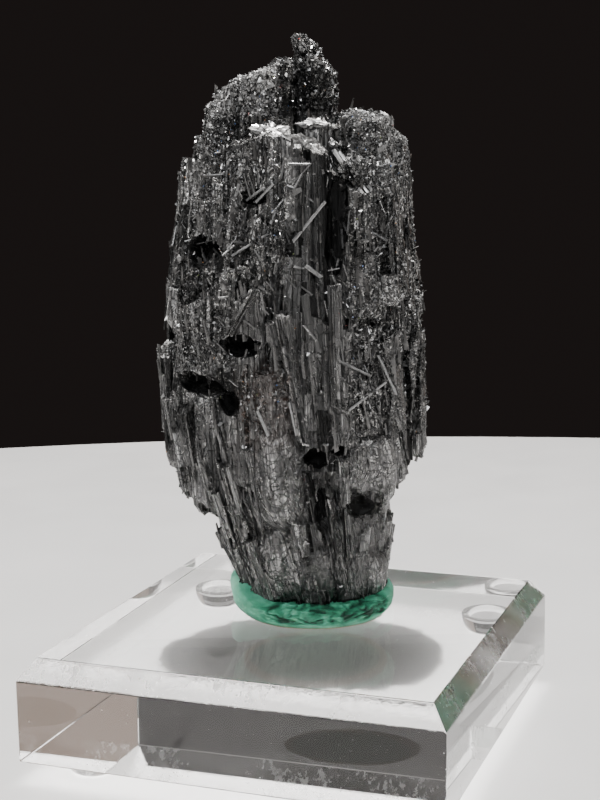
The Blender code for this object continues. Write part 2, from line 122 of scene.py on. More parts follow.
def front_depth(across, height):
    """How deep the front of the outline lies at this place; it is negative, towards the front."""
    left = along(LEFT_EDGE, height)
    right = along(RIGHT_EDGE, height)
    share = min(WIDEST_SHARE, abs(across - (left + right) / 2) / ((right - left) / 2))
    return -along(FRONT_DEPTH, height) * (1 - share**OUTLINE_POWER) ** (1 / OUTLINE_POWER)


def front(foot, tip, width, proud, depth=6.0, sides=6, rise=(0.0, 0.0), style=FLUTED):
    """A crystal on the front, its ends as (across, height), this proud of the outline."""
    ends = [
        (across, front_depth(across, height) - proud + depth / 2 + sink, height)
        for (across, height), sink in ((foot, FOOT_SINK), (tip, 0))
    ]
    return Crystal(*ends, width, depth, sides, rise, style=style)


CENTRE_COLUMNS = (
    front((-1.6, 55), (-2.6, 86.6), 3.2, 0.0, depth=3.4, rise=(-0.3, 0.8), style=LEDGED),
    front((0.4, 24), (-0.2, 85.6), 2.2, -1.6),
    front((2.4, 40), (1.7, 85.4), 2.9, 0.5, depth=3.6, rise=(-0.2, 0.7), style=LEDGED),
    front((4.7, 31), (4.1, 62.3), 3.3, 0.8, rise=(0.2, -0.2)),
    front((-1.7, 34.5), (-5.2, 57.6), 3.6, 1.3, rise=(-0.2, 0.3)),
    front((-4.6, 43), (-7.4, 56.4), 2.6, 0.2),
    front((0.8, 37), (-1.0, 61), 2.5, 0.2, rise=(0.3, 0)),
    front((1.8, 31.5), (1.2, 41), 4.4, 0.2, rise=(-0.2, 0.4)),
    front((5.2, 58), (4.6, 82), 4.8, -4.2),
    front((4.4, 64), (7.6, 77), 2.4, -1.0),
    front((8.6, 50), (8.2, 72), 3.0, -0.6),
    front((10.4, 77.4), (6.0, 82.8), 2.6, 1.2, depth=3.4, sides=4),
)
UPPER_LEFT = (
    front((-6.0, 66), (-5.4, 88.6), 6.8, -0.4, depth=3.6, rise=(0.05, 0.8), style=LEDGED),
    front((-12.2, 67), (-12.0, 86), 6.0, -1.0, depth=8, rise=(0.4, 0.3)),
    front((-8.6, 62), (-9.2, 74), 3.2, 0.2, rise=(0.3, 0.4)),
    front((-17.6, 78), (-15.6, 94.0), 5.4, -0.2, depth=9, rise=(0.4, 0.2)),
    front((-19.7, 69.4), (-18.7, 77.5), 4.6, 0.9, depth=5, rise=(0.2, 0.3)),
    front((-15.4, 69), (-15.2, 80.5), 3.4, 0.4, depth=5, rise=(-0.3, 0.3)),
    front((-22.2, 54), (-21.2, 67.4), 4.6, -0.2, depth=7, rise=(-0.2, 0.6)),
    front((-18.1, 52), (-17.4, 66), 2.9, 0.4, rise=(0.1, 0.7)),
    front((-14.4, 53.8), (-13.4, 66.4), 3.0, 0.3, rise=(0.2, 0.7)),
    front((-11.4, 53), (-11.4, 66.2), 2.6, 0.8, rise=(0, 0.8)),
    front((-9.0, 50), (-10.2, 63.5), 2.8, 0.1),
    front((-15.0, 52.4), (-9.6, 62), 1.6, 1.4, depth=2.4, sides=4),
)
LOWER_LEFT = (
    front((-20.2, 45.6), (-21.6, 55), 6.6, 0.4, depth=8, rise=(-0.2, 0.4)),
    front((-25.2, 28), (-26.2, 50), 4.4, 0.0, depth=9, rise=(0.2, 0.2)),
    front((-22.2, 22.6), (-25.2, 42.8), 4.4, 0.4, depth=8, rise=(0.5, 0.3)),
    front((-19.8, 20.2), (-22.4, 41.6), 4.8, 0.6, depth=9, rise=(0.4, 0.3)),
    front((-17.6, 20.8), (-19.9, 32.6), 3.4, 1.3, depth=6, rise=(0.6, 0.4)),
    front((-13.8, 33), (-13.9, 49.8), 4.2, 0.5, depth=6, rise=(0.1, 0.6)),
    front((-8.4, 32.5), (-8.0, 47.6), 9.0, 0.0, depth=8, sides=7, style=GRANULAR),
    front((-5.2, 16.5), (-7.4, 36.6), 9.0, 0.6, depth=9, sides=8, style=SMOOTH),
    front((-9.8, 2.2), (-15.8, 31), 3.6, 0.5, depth=7),
    front((-12.2, 4.4), (-17.6, 26), 3.0, 0.2, depth=7),
    front((-8.0, 6), (-11.8, 34), 2.8, 0.2),
    front((-5.4, 2.0), (-7.6, 18.4), 8.0, 0.3, depth=8, sides=7, style=SMOOTH),
)
LOWER_RIGHT = (
    front((2.0, 2.4), (0.6, 14.6), 7.6, 0.2, depth=8, sides=7, style=SMOOTH),
    front((1.2, 13), (-1.4, 29.4), 2.0, -0.2),
    front((4.3, 11), (2.9, 23), 2.0, 0.0, rise=(0.3, 0)),
    front((2.8, 23.4), (1.8, 31), 2.8, -0.6),
    front((6.3, 12), (5.3, 31.4), 2.4, 0.4),
    front((11.6, 22), (10.2, 35.4), 9.8, 0.4, depth=9, sides=8, style=SMOOTH),
    front((10.4, 9.6), (10.6, 24), 7.4, -1.2, depth=8, sides=7, style=GRANULAR),
    front((10.4, 3.6), (10.3, 12.2), 7.2, 0.3, depth=8, sides=7, style=SMOOTH),
    front((16.9, 28.4), (12.6, 53), 5.4, 0.8, depth=6, rise=(0.2, 0.2)),
    front((10.2, 33), (8.4, 54), 4.4, -0.4, depth=7, rise=(-0.3, 0.2)),
    front((13.4, 50), (12.6, 72), 8.6, -0.3, depth=9, sides=7, rise=(0.3, 0.3)),
    front((18.8, 53.6), (16.6, 59.4), 4.2, 1.3, depth=4, sides=4, rise=(-0.3, 0)),
)
SHOULDERS = (
    Crystal((12.4, -4, 64), (11.0, -3, 91.6), 8.4, 22, 7, (-0.15, 0.12), style=GRANULAR),
    Crystal((16.2, -1, 60), (15.4, 0, 88.4), 6.4, 18, 6, (-0.6, 0.05), style=GRANULAR),
    Crystal((8.6, 0, 66), (8.0, 1, 92.0), 5.4, 20, 6, (0.1, 0.1), style=GRANULAR),
    Crystal((-9.0, 0, 74), (-8.4, 2, 99.6), 12.0, 17, 7, (0.36, 0.1), style=GRANULAR),
    Crystal((-14.8, 1, 72), (-13.2, 2, 96.2), 7.2, 15, 6, (0.3, -0.1)),
    Crystal((-4.6, 3, 80), (-4.4, 4, 101.4), 5.6, 12, 6, (0.1, 0.2), style=GRANULAR),
    Crystal((2.4, 4, 78), (1.5, 4, 102.6), 9.6, 12, 7, (-0.8, 0.2), 0.82, GRANULAR),
    Crystal((-0.8, 4, 84), (-0.6, 4, 105.6), 3.8, 7, 5, (-0.3, 0.2), style=GRANULAR),
    Crystal((1.2, 4.5, 84), (1.0, 4.5, 104.4), 4.6, 9, 6, (-0.7, 0.1), style=GRANULAR),
    Crystal((1.4, -6, 80), (1.3, -8.6, 89.6), 5.6, 3.2, 6, (0.15, 0.8), style=LEDGED),
    Crystal((5.2, -9, 80), (5.3, -9, 89.4), 2.8, 5, 5, (0.1, 0.3)),
)
SIDE_CHIPS = (
    Crystal((19.4, 0, 28.6), (19.4, 0, 52), 3.6, 8, 6, (0.3, 0.1)),
    Crystal((20.0, 2, 29.2), (20.2, 1, 40), 3.2, 9, 6, (-0.4, 0.1)),
    Crystal((18.6, 1, 57), (19.0, 0, 65), 3.0, 7, 6, (-0.4, 0.2)),
    Crystal((16.1, 0, 16.4), (16.7, -1, 22.0), 2.8, 5, 5, (-0.4, 0.1)),
    Crystal((-22.6, 0, 70), (-21.8, 0, 82), 3.0, 10, 6, (0.3, 0)),
    Crystal((-26.2, 1, 30), (-26.6, 1, 49), 3.4, 12, 6, (0.3, 0.1)),
)

# Pits and grooves broken into the stone: their middle as (across, height), width, height, depth and
# how far they lean over, in degrees
Pit = namedtuple("Pit", "middle width height depth lean", defaults=(0,))
PITS = (
    Pit((-19.2, 68.0), 7.4, 5.0, 7.0, 4),
    Pit((-12.6, 51.8), 6.6, 4.0, 6.0, -6),
    Pit((-20.2, 44.6), 9.6, 3.6, 6.5, -14),
    Pit((-14.6, 41.6), 3.4, 4.6, 5.5, 20),
    Pit((4.9, 73.0), 3.8, 17.0, 5.0, -4),
    Pit((17.6, 38.0), 1.7, 22.0, 5.0, 4),
    Pit((0.4, 31.2), 4.2, 3.6, 5.0, -10),
    Pit((4.6, 32.4), 3.2, 2.2, 4.5, 0),
    Pit((1.4, 21.6), 2.6, 5.0, 4.5, 0),
    Pit((8.6, 21.4), 5.0, 4.2, 3.6, 10),
    Pit((-9.6, 77.4), 5.0, 3.0, 4.5, -10),
)


def lie_at(across, deep, height):
    """A place on the stone, in the world, in metres."""
    turned = Matrix.Rotation(STONE_TURN, 3, "Z") @ Vector((across, deep, 0))
    return MM * Vector((turned.x + STONE_PLACE[0], turned.y + STONE_PLACE[1], BLOCK_TOP + height))


def outline_point(angle, height, inset):
    """A place this far inside the outline, at an angle round the stone from its right side."""
    left = along(LEFT_EDGE, height)
    right = along(RIGHT_EDGE, height)
    depths = BACK_DEPTH if math.sin(angle) > 0 else FRONT_DEPTH
    power = 2 / OUTLINE_POWER
    across = math.copysign(abs(math.cos(angle)) ** power, math.cos(angle))
    deep = math.copysign(abs(math.sin(angle)) ** power, math.sin(angle))
    half = max(1.0, (right - left) / 2 - inset)
    reach = max(1.0, along(depths, height) - inset)
    return ((left + right) / 2 + half * across, reach * deep, height)


# Rings of columns that fill the stone out: their lowest foot, highest tip, number, width, depth,
# how far inside the outline they stand, and the arc they cover, in degrees from the right side
Ring = namedtuple("Ring", "foot tip count width depth inset arc")
RINGS = (
    Ring(2.0, 20.0, 11, 8.5, 8.0, (3.6, 5.0), (0, 360)),
    Ring(20.0, 62.0, 14, 10.5, 9.0, (3.8, 5.6), (0, 360)),
    Ring(52.0, 88.0, 13, 10.0, 9.0, (3.8, 5.6), (0, 360)),
    Ring(2.2, 16.5, 11, 7.0, 6.0, (3.0, 4.4), (-28, 212)),
    Ring(20.4, 48.0, 11, 7.4, 6.4, (2.8, 4.8), (-24, 206)),
    Ring(38.0, 72.0, 12, 7.4, 6.4, (2.8, 4.8), (-20, 204)),
    Ring(60.0, 91.0, 11, 7.2, 6.4, (2.8, 4.8), (-20, 204)),
)
RING_SEED = 7


def ring_columns():
    """The seeded columns of the rings, each with its own lengths, widths and broken tip."""
    chance = random.Random(RING_SEED)
    for ring in RINGS:
        for i in range(ring.count):
            first, last = (math.radians(a) for a in ring.arc)
            angle = first + (last - first) * (i + chance.uniform(0.2, 0.8)) / ring.count
            length = ring.tip - ring.foot
            foot = ring.foot + length * chance.uniform(0.0, 0.18)
            tip = ring.tip - length * chance.uniform(0.0, 0.26)
            inset = chance.uniform(*ring.inset)
            yield Crystal(
                outline_point(angle + chance.uniform(-0.06, 0.06), foot, inset),
                outline_point(angle, tip, inset),
                ring.width * chance.uniform(0.8, 1.15),
                ring.depth * chance.uniform(0.85, 1.2),
                chance.choice((5, 6, 6, 7)),
                (chance.uniform(-0.5, 0.5), chance.uniform(-0.5, 0.5)),
            )


# The solid heart of the stone: how far inside the outline it stays, as (height, inset)
HEART_INSET = ((0, 1.5), (18, 2.4), (62, 2.4), (78, 3.2), (84, 5.4), (88, 8.0))
HEART_FOOT, HEART_TOP = 1.4, 88.0


# ---------------------------------------------------------------- meshes

STONE_AXES = np.array(Matrix.Rotation(STONE_TURN, 3, "Z"))
STONE_FOOT = (*STONE_PLACE, BLOCK_TOP)


def in_world(places):
    """The stone's own millimetres as the world's."""
    return places @ STONE_AXES.T + STONE_FOOT


def in_stone(places):
    """The world's metres as the stone's own millimetres."""
    return (places / MM - STONE_FOOT) @ STONE_AXES


def read(items, field, width=1, kind=float):
    """A field of many mesh items as one array, with a row for each item where it is a vector."""
    values = np.empty(len(items) * width, kind)
    items.foreach_get(field, values)
    return values.reshape(-1, width) if width > 1 else values


def add_object(name, data):
    """A new object of the scene that holds this data."""
    made = bpy.data.objects.new(name, data)
    bpy.context.scene.collection.objects.link(made)
    return made


def add_piece(name, mesh, finish, slot, *nodes):
    """A piece on the object's one body, standing for these nodes of the frame."""
    piece = add_object(name, mesh)
    # Clearing the slots would put every face into the first one.
    slots = read(mesh.polygons, "material_index", kind=np.int32)
    mesh.materials.clear()
    mesh.materials.append(finish)
    mesh.polygons.foreach_set("material_index", slots)
    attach(piece, "root")
    for node in nodes:
        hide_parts(node)
    return piece


def mesh_from(shape, name):
    """The mesh of a bmesh, its faces turned out."""
    bmesh.ops.recalc_face_normals(shape, faces=shape.faces)
    mesh = bpy.data.meshes.new(name)
    shape.to_mesh(mesh)
    shape.free()
    return mesh


def join_rings(shape, rings):
    """Closes a stack of rings of vertices into a solid: its walls, its foot and its top."""
    for lower, upper in zip(rings, rings[1:]):
        for i in range(len(lower)):
            j = (i + 1) % len(lower)
            shape.faces.new((lower[i], lower[j], upper[j], upper[i]))
    shape.faces.new(list(reversed(rings[0])))
    shape.faces.new(rings[-1])


def section_corners(crystal, chance):
    """The corners of a crystal's unequal section, anticlockwise, in millimetres."""
    phase = chance.uniform(0, math.tau)
    reach = [chance.uniform(0.86, 1.08) for _ in range(crystal.sides)]
    shape = bmesh.new()
    bmesh.ops.create_cone(
        shape, cap_ends=True, segments=crystal.sides, radius1=1, radius2=1, depth=1
    )
    corners = []
    for vert in shape.verts:
        if vert.co.z < 0:
            turn = math.atan2(vert.co.y, vert.co.x)
            size = reach[round(turn / math.tau * crystal.sides)]
            x = size * math.cos(turn + phase) * crystal.width / 2
            y = size * math.sin(turn + phase) * crystal.depth / 2
            corners.append((turn, Vector((x, y))))
    shape.free()
    return [corner for _, corner in sorted(corners, key=lambda pair: pair[0])]


def rounded(corners, times):
    """The section with its corners cut off again and again, which leaves it nearly round."""
    for _ in range(times):
        cut = []
        for start, end in zip(corners, corners[1:] + corners[:1]):
            cut += [start.lerp(end, 0.25), start.lerp(end, 0.75)]
        corners = cut
    return corners


def crystal_frame(crystal):
    """How a crystal's millimetres turn into the world: across, into the stone, along its axis."""
    foot = lie_at(*crystal.foot)
    tip = lie_at(*crystal.tip)
    axis = (tip - foot).normalized()
    across = Matrix.Rotation(STONE_TURN, 3, "Z") @ Vector((1, 0, 0))
    across = (across - axis * across.dot(axis)).normalized()
    upright = Matrix((across, axis.cross(across), axis)).transposed().to_4x4()
    return Matrix.Translation(foot) @ upright @ Matrix.Scale(MM, 4), (tip - foot).length / MM


def skin_rows(rows, inner, middle, number, matrix):
    """A closed mesh from rings of points, with a broken cap of an inner ring and a middle."""
    shape = bmesh.new()
    grain = shape.loops.layers.uv.new("grain")
    count = len(rows[0])
    walk = [0.0]
    for start, end in zip(rows[0], rows[0][1:] + rows[0][:1]):
        walk.append(walk[-1] + math.dist(start[:2], end[:2]))
    shift = number * 37.0

    def face(verts, places):
        made = shape.faces.new(verts)
        for loop, place in zip(made.loops, places):
            loop[grain].uv = place

    def cap(verts):
        face(verts, [(shift + vert.co.x, vert.co.y) for vert in verts])

    rings = [[shape.verts.new(point) for point in row] for row in rows]
    for lower, upper, low, high in zip(rings, rings[1:], rows, rows[1:]):
        for i in range(count):
            j = (i + 1) % count
            first, second = shift + walk[i], shift + walk[i + 1]
            heights = low[i][2], low[j][2], high[j][2], high[i][2]
            face(
                (lower[i], lower[j], upper[j], upper[i]),
                zip((first, second, second, first), heights),
            )
    cap(list(reversed(rings[0])))
    step = count // len(inner)
    heart = shape.verts.new(middle)
    hub = [shape.verts.new(point) for point in inner]
    for i, point in enumerate(hub):
        following = hub[(i + 1) % len(hub)]
        for k in range(step):
            first = rings[-1][i * step + k]
            second = rings[-1][(i * step + k + 1) % count]
            cap((first, second, point))
        cap((rings[-1][(i + 1) * step % count], following, point))
        cap((point, following, heart))
    bmesh.ops.transform(shape, matrix=matrix, verts=shape.verts)
    return mesh_from(shape, "crystal")


# How the flat sides of a crystal are fluted: the pitch of the flutes, how deep the grooves between
# them are, how far a flute stands in or out, and how far its broken tip steps down
Fluting = namedtuple("Fluting", "pitch groove offset step jag")
FLUTINGS = {
    FLUTED: Fluting((0.38, 1.5), (0.04, 0.13), (-0.16, 0.04), 0.8, 1.1),
    LEDGED: Fluting((0.42, 0.9), (0.06, 0.2), (-0.14, 0.04), 0.45, 0.12),
}
DEEP_GROOVE, DEEP_SHARE = 0.45, 0.16  # how much deeper some of the grooves are, and how many


def flute_points(corners, fluting, coarse, chance):
    """Three points for each flute of a section: the place, which way is out, and how far out it
    lies. Then the group that each point's flute breaks off with, and how many groups there are."""
    points, flutes = [], []
    group = 0
    for start, end in zip(corners, corners[1:] + corners[:1]):
        edge = end - start
        outward = Vector((edge.y, -edge.x)).normalized()
        widths = []
        while sum(widths) < edge.length:
            widths.append(chance.uniform(*fluting.pitch) * coarse)
        scale = edge.length / sum(widths)
        at = 0.0
        for width in widths:
            if chance.random() < 0.55:
                group += 1
            lift = chance.uniform(*fluting.offset)
            tilt = chance.uniform(-0.07, 0.07) * width
            for share, rise in ((0.0, None), (0.12, lift - tilt), (0.88, lift + tilt)):
                place = start + edge.normalized() * (at + share * width) * scale
                if rise is None:
                    rise = min(fluting.offset[0], lift) - chance.uniform(*fluting.groove)
                    rise -= DEEP_GROOVE * (chance.random() < DEEP_SHARE)
                points.append((place, outward, rise))
                flutes.append(group)
            at += width
    return points, flutes, group + 1


def fluted_mesh(crystal, number):
    """A crystal as a bundle of thin columns of unequal widths, broken off in steps."""
    chance = random.Random(number)
    corners = section_corners(crystal, chance)
    matrix, length = crystal_frame(crystal)
    fluting = FLUTINGS[crystal.style]
    coarse = 1.0 if crystal.width < 7 else 1.25
    points, flutes, groups = flute_points(corners, fluting, coarse, chance)
    breaks = 1 if length < 6 else 2 if length < 16 else 3
    cuts = [[0.0] * groups]
    for level in range(1, breaks):
        middle = level / breaks
        cuts.append([middle + chance.uniform(-0.42, 0.42) / breaks for _ in range(groups)])
    steps = [
        [-chance.uniform(0.2, 1.0) * fluting.step * (chance.random() < 0.38) for _ in range(groups)]
        for _ in range(breaks)
    ]
    jag = [-chance.random() ** 2 * fluting.jag * min(1.0, crystal.width / 5) for _ in range(groups)]
    foot_share = 0.72

    def row(share_of, deeper):
        made = []
        for (place, outward, rise), flute in zip(points, flutes):
            share = share_of(flute)
            size = 1 + (crystal.taper - 1) * share
            if share == 0.0:
                size *= foot_share
            flat = place * size + outward * (rise + deeper[flute])
            z = share * length
            if share == 1.0:
                z += crystal.rise[0] * flat.x + crystal.rise[1] * flat.y + jag[flute]
            made.append((flat.x, flat.y, z))
        return made

    ledge = min(0.35, 0.25 * crystal.width) / length
    rows = [row(lambda flute: 0.0, steps[0])]
    rows.append(row(lambda flute: min(0.12, 1.6 / length), steps[0]))
    for level in range(1, breaks):
        rows.append(row(lambda flute, cut=cuts[level]: cut[flute] - ledge / 2, steps[level - 1]))
        rows.append(row(lambda flute, cut=cuts[level]: cut[flute] + ledge / 2, steps[level]))
    rows.append(row(lambda flute: 1.0, steps[-1]))
    inner = []
    for i in range(0, len(points), 3):
        x, y, _ = rows[-1][i + 1]
        x, y = x * 0.62, y * 0.62
        z = length + crystal.rise[0] * x + crystal.rise[1] * y
        inner.append((x, y, z - chance.uniform(0, 0.6) * fluting.jag))
    heart = (0, 0, length - 0.25 * fluting.jag)
    return skin_rows(rows, inner, heart, number, matrix)


# The swelling of a rounded lump along its length: share of length, share of size
LUMP_ROWS = (
    (0.0, 0.34), (0.03, 0.55), (0.09, 0.76), (0.2, 0.91), (0.36, 0.99), (0.5, 1.0), (0.64, 0.99),
    (0.8, 0.92), (0.91, 0.77), (0.97, 0.56), (1.0, 0.34),
)


def lump_mesh(crystal, number):
    """A smooth lens-shaped lump with shallow wandering ridges."""
    chance = random.Random(number)
    corners = rounded(section_corners(crystal, chance), 2)
    matrix, length = crystal_frame(crystal)
    ridges = [chance.uniform(-0.10, 0.06) for _ in corners]
    rows = []
    for share, size in LUMP_ROWS:
        wave = [chance.uniform(-0.05, 0.05) for _ in corners]
        rows.append([
            (
                corner.x * (size + (ridge + shake) * 0.35),
                corner.y * (size + (ridge + shake) * 0.35),
                share * length,
            )
            for corner, ridge, shake in zip(corners, ridges, wave)
        ])
    inner = [(x * 0.6, y * 0.6, z + 0.12) for x, y, z in rows[-1]]
    return skin_rows(rows, inner, (0, 0, length + 0.15), number, matrix)


def rough_mesh(crystal, number):
    """A broken, sugary crystal: no flutes, its surface chipped all over."""
    chance = random.Random(number)
    corners = section_corners(crystal, chance)
    matrix, length = crystal_frame(crystal)
    section = []
    for start, end in zip(corners, corners[1:] + corners[:1]):
        parts = max(2, round((end - start).length / 1.1))
        section += [start.lerp(end, k / parts) for k in range(parts)]
    levels = max(4, round(length / 1.5))
    rows = []
    for level in range(levels + 1):
        share = level / levels
        size = (1 + (crystal.taper - 1) * share) * (1.0 if 0 < level < levels else 0.9)
        row = []
        for place in section:
            chip = size - chance.uniform(0, 0.75) / max(2.0, place.length)
            x, y = place.x * chip, place.y * chip
            z = share * length
            if level == levels:
                z += crystal.rise[0] * x + crystal.rise[1] * y - chance.uniform(0, 0.8)
            elif level:
                z += chance.uniform(-0.4, 0.4)
                top = length + crystal.rise[0] * x + crystal.rise[1] * y
                z = min(z, top - 0.9 * (levels - level))
            row.append((x, y, z))
        rows.append(row)
    inner = []
    for x, y, _ in rows[-1]:
        x, y = x * 0.6, y * 0.6
        z = length + crystal.rise[0] * x + crystal.rise[1] * y - chance.uniform(0, 0.9)
        inner.append((x, y, z))
    return skin_rows(rows, inner, (0, 0, length - 0.3), number, matrix)


MAKERS = {FLUTED: fluted_mesh, LEDGED: fluted_mesh, SMOOTH: lump_mesh, GRANULAR: rough_mesh}


def near(middles, box, soft=2.0):
    """How far inside a box (across from, to, height from, to) of the front a place is, 0 to 1."""
    left, right, low, high = box
    inside = np.minimum(
        np.minimum(middles[:, 0] - left, right - middles[:, 0]),
        np.minimum(middles[:, 2] - low, high - middles[:, 2]),
    )
    return np.clip(inside / soft + 0.5, 0, 1)


def unit(vectors):
    """The vectors, each made one long."""
    return vectors / np.maximum(np.linalg.norm(vectors, axis=1, keepdims=True), 1e-9)


# Regions of the front, as (across from, to, height from, to)
FELT = ((-24, -6, 60, 93), (6.5, 22, 33, 92), (-24, -14, 40, 62), (-9, -3, 62, 84))
SUGAR = ((-20, 7, 90.5, 108), (5, 20, 80, 95), (-24, -12, 82, 100))
RUST = ((-13, -3.6, 34, 48),)
PLAIN = ((-12, 0, 4, 36), (4, 16, 0, 36), (-28, -20, 20, 44))
BARE = ((-10, 5, 84.5, 90.6), (-11, -3.5, 18, 37), (7, 17, 25, 35))

# Grains painted in the colour of a glint: the share of all grains that have neither this colour
# nor a later one
GLINTS = (
    (0.980, (0.42, 0.20, 0.07)), (0.986, (0.08, 0.18, 0.45)), (0.991, (0.38, 0.07, 0.06)),
    (0.993, (0.25, 0.32, 0.10)), (0.995, (0.6, 0.6, 0.62)),
)


def strength(middles, boxes):
    """How far inside any of these boxes a place is, 0 to 1."""
    return np.max([near(middles, box) for box in boxes], axis=0)


# Painted shading of the front: painted shade (down to -1) in hollows, channels, the darker centre
# columns and the gap above the putty, and painted silvery sheen (up to 1) elsewhere
PAINTED_SHADING = (
    ((-4.5, 6.0, 90.5, 99.5), -1.0), ((-2.3, -0.9, 57, 85), -0.9), ((2.1, 3.3, 50, 85), -0.9),
    ((3.6, 7.2, 62, 81), -0.68), ((-2.4, 3.8, 6, 42), -0.45), ((-1.2, 2.4, 14, 31), -0.66),
    ((6.5, 12.0, 18.5, 24.5), -0.6), ((-17, -13, 40, 48), -0.8), ((-6.8, -5.8, 52, 66), -0.7),
    ((-22.5, -16.5, 71.5, 76.5), 0.8), ((-22.5, -16.0, 77.5, 82), 0.8), ((-26, -16, 52.5, 58), 0.5),
    ((-26, -17, 26, 40), 0.45), ((-10.5, -4.0, 19.5, 36), 0.6), ((7.5, 16, 25.5, 34), 0.65),
    ((-9.5, -2.5, 4, 15), 0.4), ((5.0, 12.5, 2, 10), 0.5), ((6.4, 18, 82, 92.5), 0.85),
    ((-3.5, 7.5, 99.3, 109), 1.0), ((-17, -5, 91, 101), 1.0), ((15.4, 19.6, 53.5, 60), 1.0),
    ((-9.8, 4.6, 85.0, 90.2), 0.8), ((-3.4, 4.6, 52, 85), -0.62), ((-15, 15, -1, 3.8), -0.85),
)
PAINTED_SHADING_EDGE = 0.9


def tone_at(places):
    """The painted shading of the front here: the strongest dark or light box, and painted shade in
    every pit.
    """
    facing = smooth_step(3.0, -3.0, places[:, 1])
    total = np.zeros(len(places))
    ragged = wave_noise(places, 0.9, seed=77) * 1.1
    for box, tone in PAINTED_SHADING:
        here = near(places, box, PAINTED_SHADING_EDGE) * tone
        total = np.where(np.abs(here) > np.abs(total), here, total)
    for pit in PITS:
        across, height = pit.middle
        aside = (places[:, 0] + ragged - across) / (pit.width * 0.52)
        above = (places[:, 2] - ragged - height) / (pit.height * 0.52)
        total -= 1.6 * smooth_step(1.15, 0.75, np.hypot(aside, above))
    return np.clip(total, -1, 1) * facing


# The net of the heart: the number of rings, and of points round them, on the front and behind
HEART_ROWS = 250
HEART_FRONT, HEART_BEHIND = 250, 110

# The broken upright blocks of its relief: their widths, lengths and how far they stand out, in
# millimetres, and the most breaks that a column of them may have
Blocks = namedtuple("Blocks", "seed widths lengths lift")
BIG_BLOCKS = Blocks(5, (1.1, 4.2), (3.5, 19.0), (-1.0, 0.55))
SMALL_BLOCKS = Blocks(6, (0.5, 1.3), (1.6, 8.0), (-0.28, 0.2))
BREAKS = 60

# Swellings and hollows of the front: middle (across, height), half width and height, rise
Swell = namedtuple("Swell", "across height wide tall rise")
SWELLS = [Swell(*row) for row in (
    (-6.6, 26.5, 5.4, 10.5, 1.3), (10.8, 28.6, 5.4, 6.0, 1.6), (-6.4, 10.0, 5.0, 7.5, 1.0),
    (1.6, 8.4, 4.4, 6.0, 0.9), (10.4, 8.0, 4.4, 4.6, 1.0), (10.6, 17.0, 4.6, 4.6, 0.5),
    (-8.2, 40.5, 5.2, 7.0, 0.9), (2.6, 26.0, 2.2, 10.0, -1.6), (4.9, 72.0, 2.4, 9.5, -1.8),
    (13.5, 64.0, 6.0, 10.0, 0.9), (12.0, 84.0, 7.0, 9.0, 1.2), (-24.0, 34.0, 4.0, 12.0, 0.8),
    (12.5, 44.0, 5.5, 8.0, 0.6), (-18.5, 86.0, 5.0, 8.0, 0.8), (0.5, 44.0, 3.0, 14.0, 0.4),
)]


def mix(low, high, share):
    """The value this share of the way from one to the other."""
    return low + (high - low) * share


def smooth_step(low, high, value):
    """0 at the first of the bounds, 1 at the second, and smooth between them."""
    share = np.clip((value - low) / (high - low), 0, 1)
    return share * share * (3 - 2 * share)


def wave_noise(points, scale, seed, octaves=4):
    """Smooth noise of these places, about -1 to 1, from a seeded lattice."""
    total = np.zeros(len(points))
    size = 1.0
    for octave in range(octaves):
        lattice = np.random.default_rng(seed * 31 + octave).uniform(-1, 1, 4096)
        spot = points / scale * 2.0**octave + seed * 7.3
        cell = np.floor(spot).astype(int)
        part = spot - cell
        part = part * part * (3 - 2 * part)
        value = np.zeros(len(points))
        for corner in np.ndindex(2, 2, 2):
            x, y, z = (cell + corner).T
            weight = np.prod(np.where(corner, part, 1 - part), axis=1)
            value += weight * lattice[(x * 73 + y * 179 + z * 283) % 4096]
        total += value * size
        size *= 0.5
    return total / 1.6


def block_relief(around, height, blocks):
    """Upright broken blocks of unequal width and length: how far each stands out, and its shade."""
    chance = np.random.default_rng(blocks.seed)
    widths, lengths = blocks.widths, blocks.lengths
    reach = around.max() - around.min() + 10
    edges = np.cumsum(chance.uniform(*widths, int(reach / widths[0]) + 4)) + around.min() - 5
    column = np.searchsorted(edges, around)
    left, right = edges[column - 1], edges[column]
    within = (around - left) / (right - left)
    relief, shade = np.zeros((2, len(around)))
    for one in np.unique(column):
        rows = column == one
        breaks = np.cumsum(chance.uniform(*lengths, BREAKS)) - chance.uniform(*lengths) - lengths[1]
        slope = chance.uniform(-0.5, 0.5)
        level = height[rows] + slope * (around[rows] - left[rows])
        part = np.searchsorted(breaks, level)
        rises = chance.uniform(*blocks.lift, BREAKS + 2)
        tilts = chance.uniform(-0.45, 0.45, BREAKS + 2)
        lean = chance.uniform(-0.035, 0.02, BREAKS + 2)
        shade[rows] = chance.uniform(-1, 1, BREAKS + 2)[part]
        start = breaks[np.clip(part - 1, 0, BREAKS - 1)]
        across, along_it = within[rows] - 0.5, level - start
        relief[rows] = rises[part] + tilts[part] * across + lean[part] * along_it
    gap = np.minimum(within, 1 - within) * (right - left)
    return relief - 0.55 * (1 - smooth_step(0.05, 0.4, gap)), shade


def relief_and_shade(around, height):
    """The big blocks' relief and shade, and then the small ones', which lie over them."""
    big = block_relief(around, height, BIG_BLOCKS)
    return big, block_relief(around + 0.3, height, SMALL_BLOCKS)


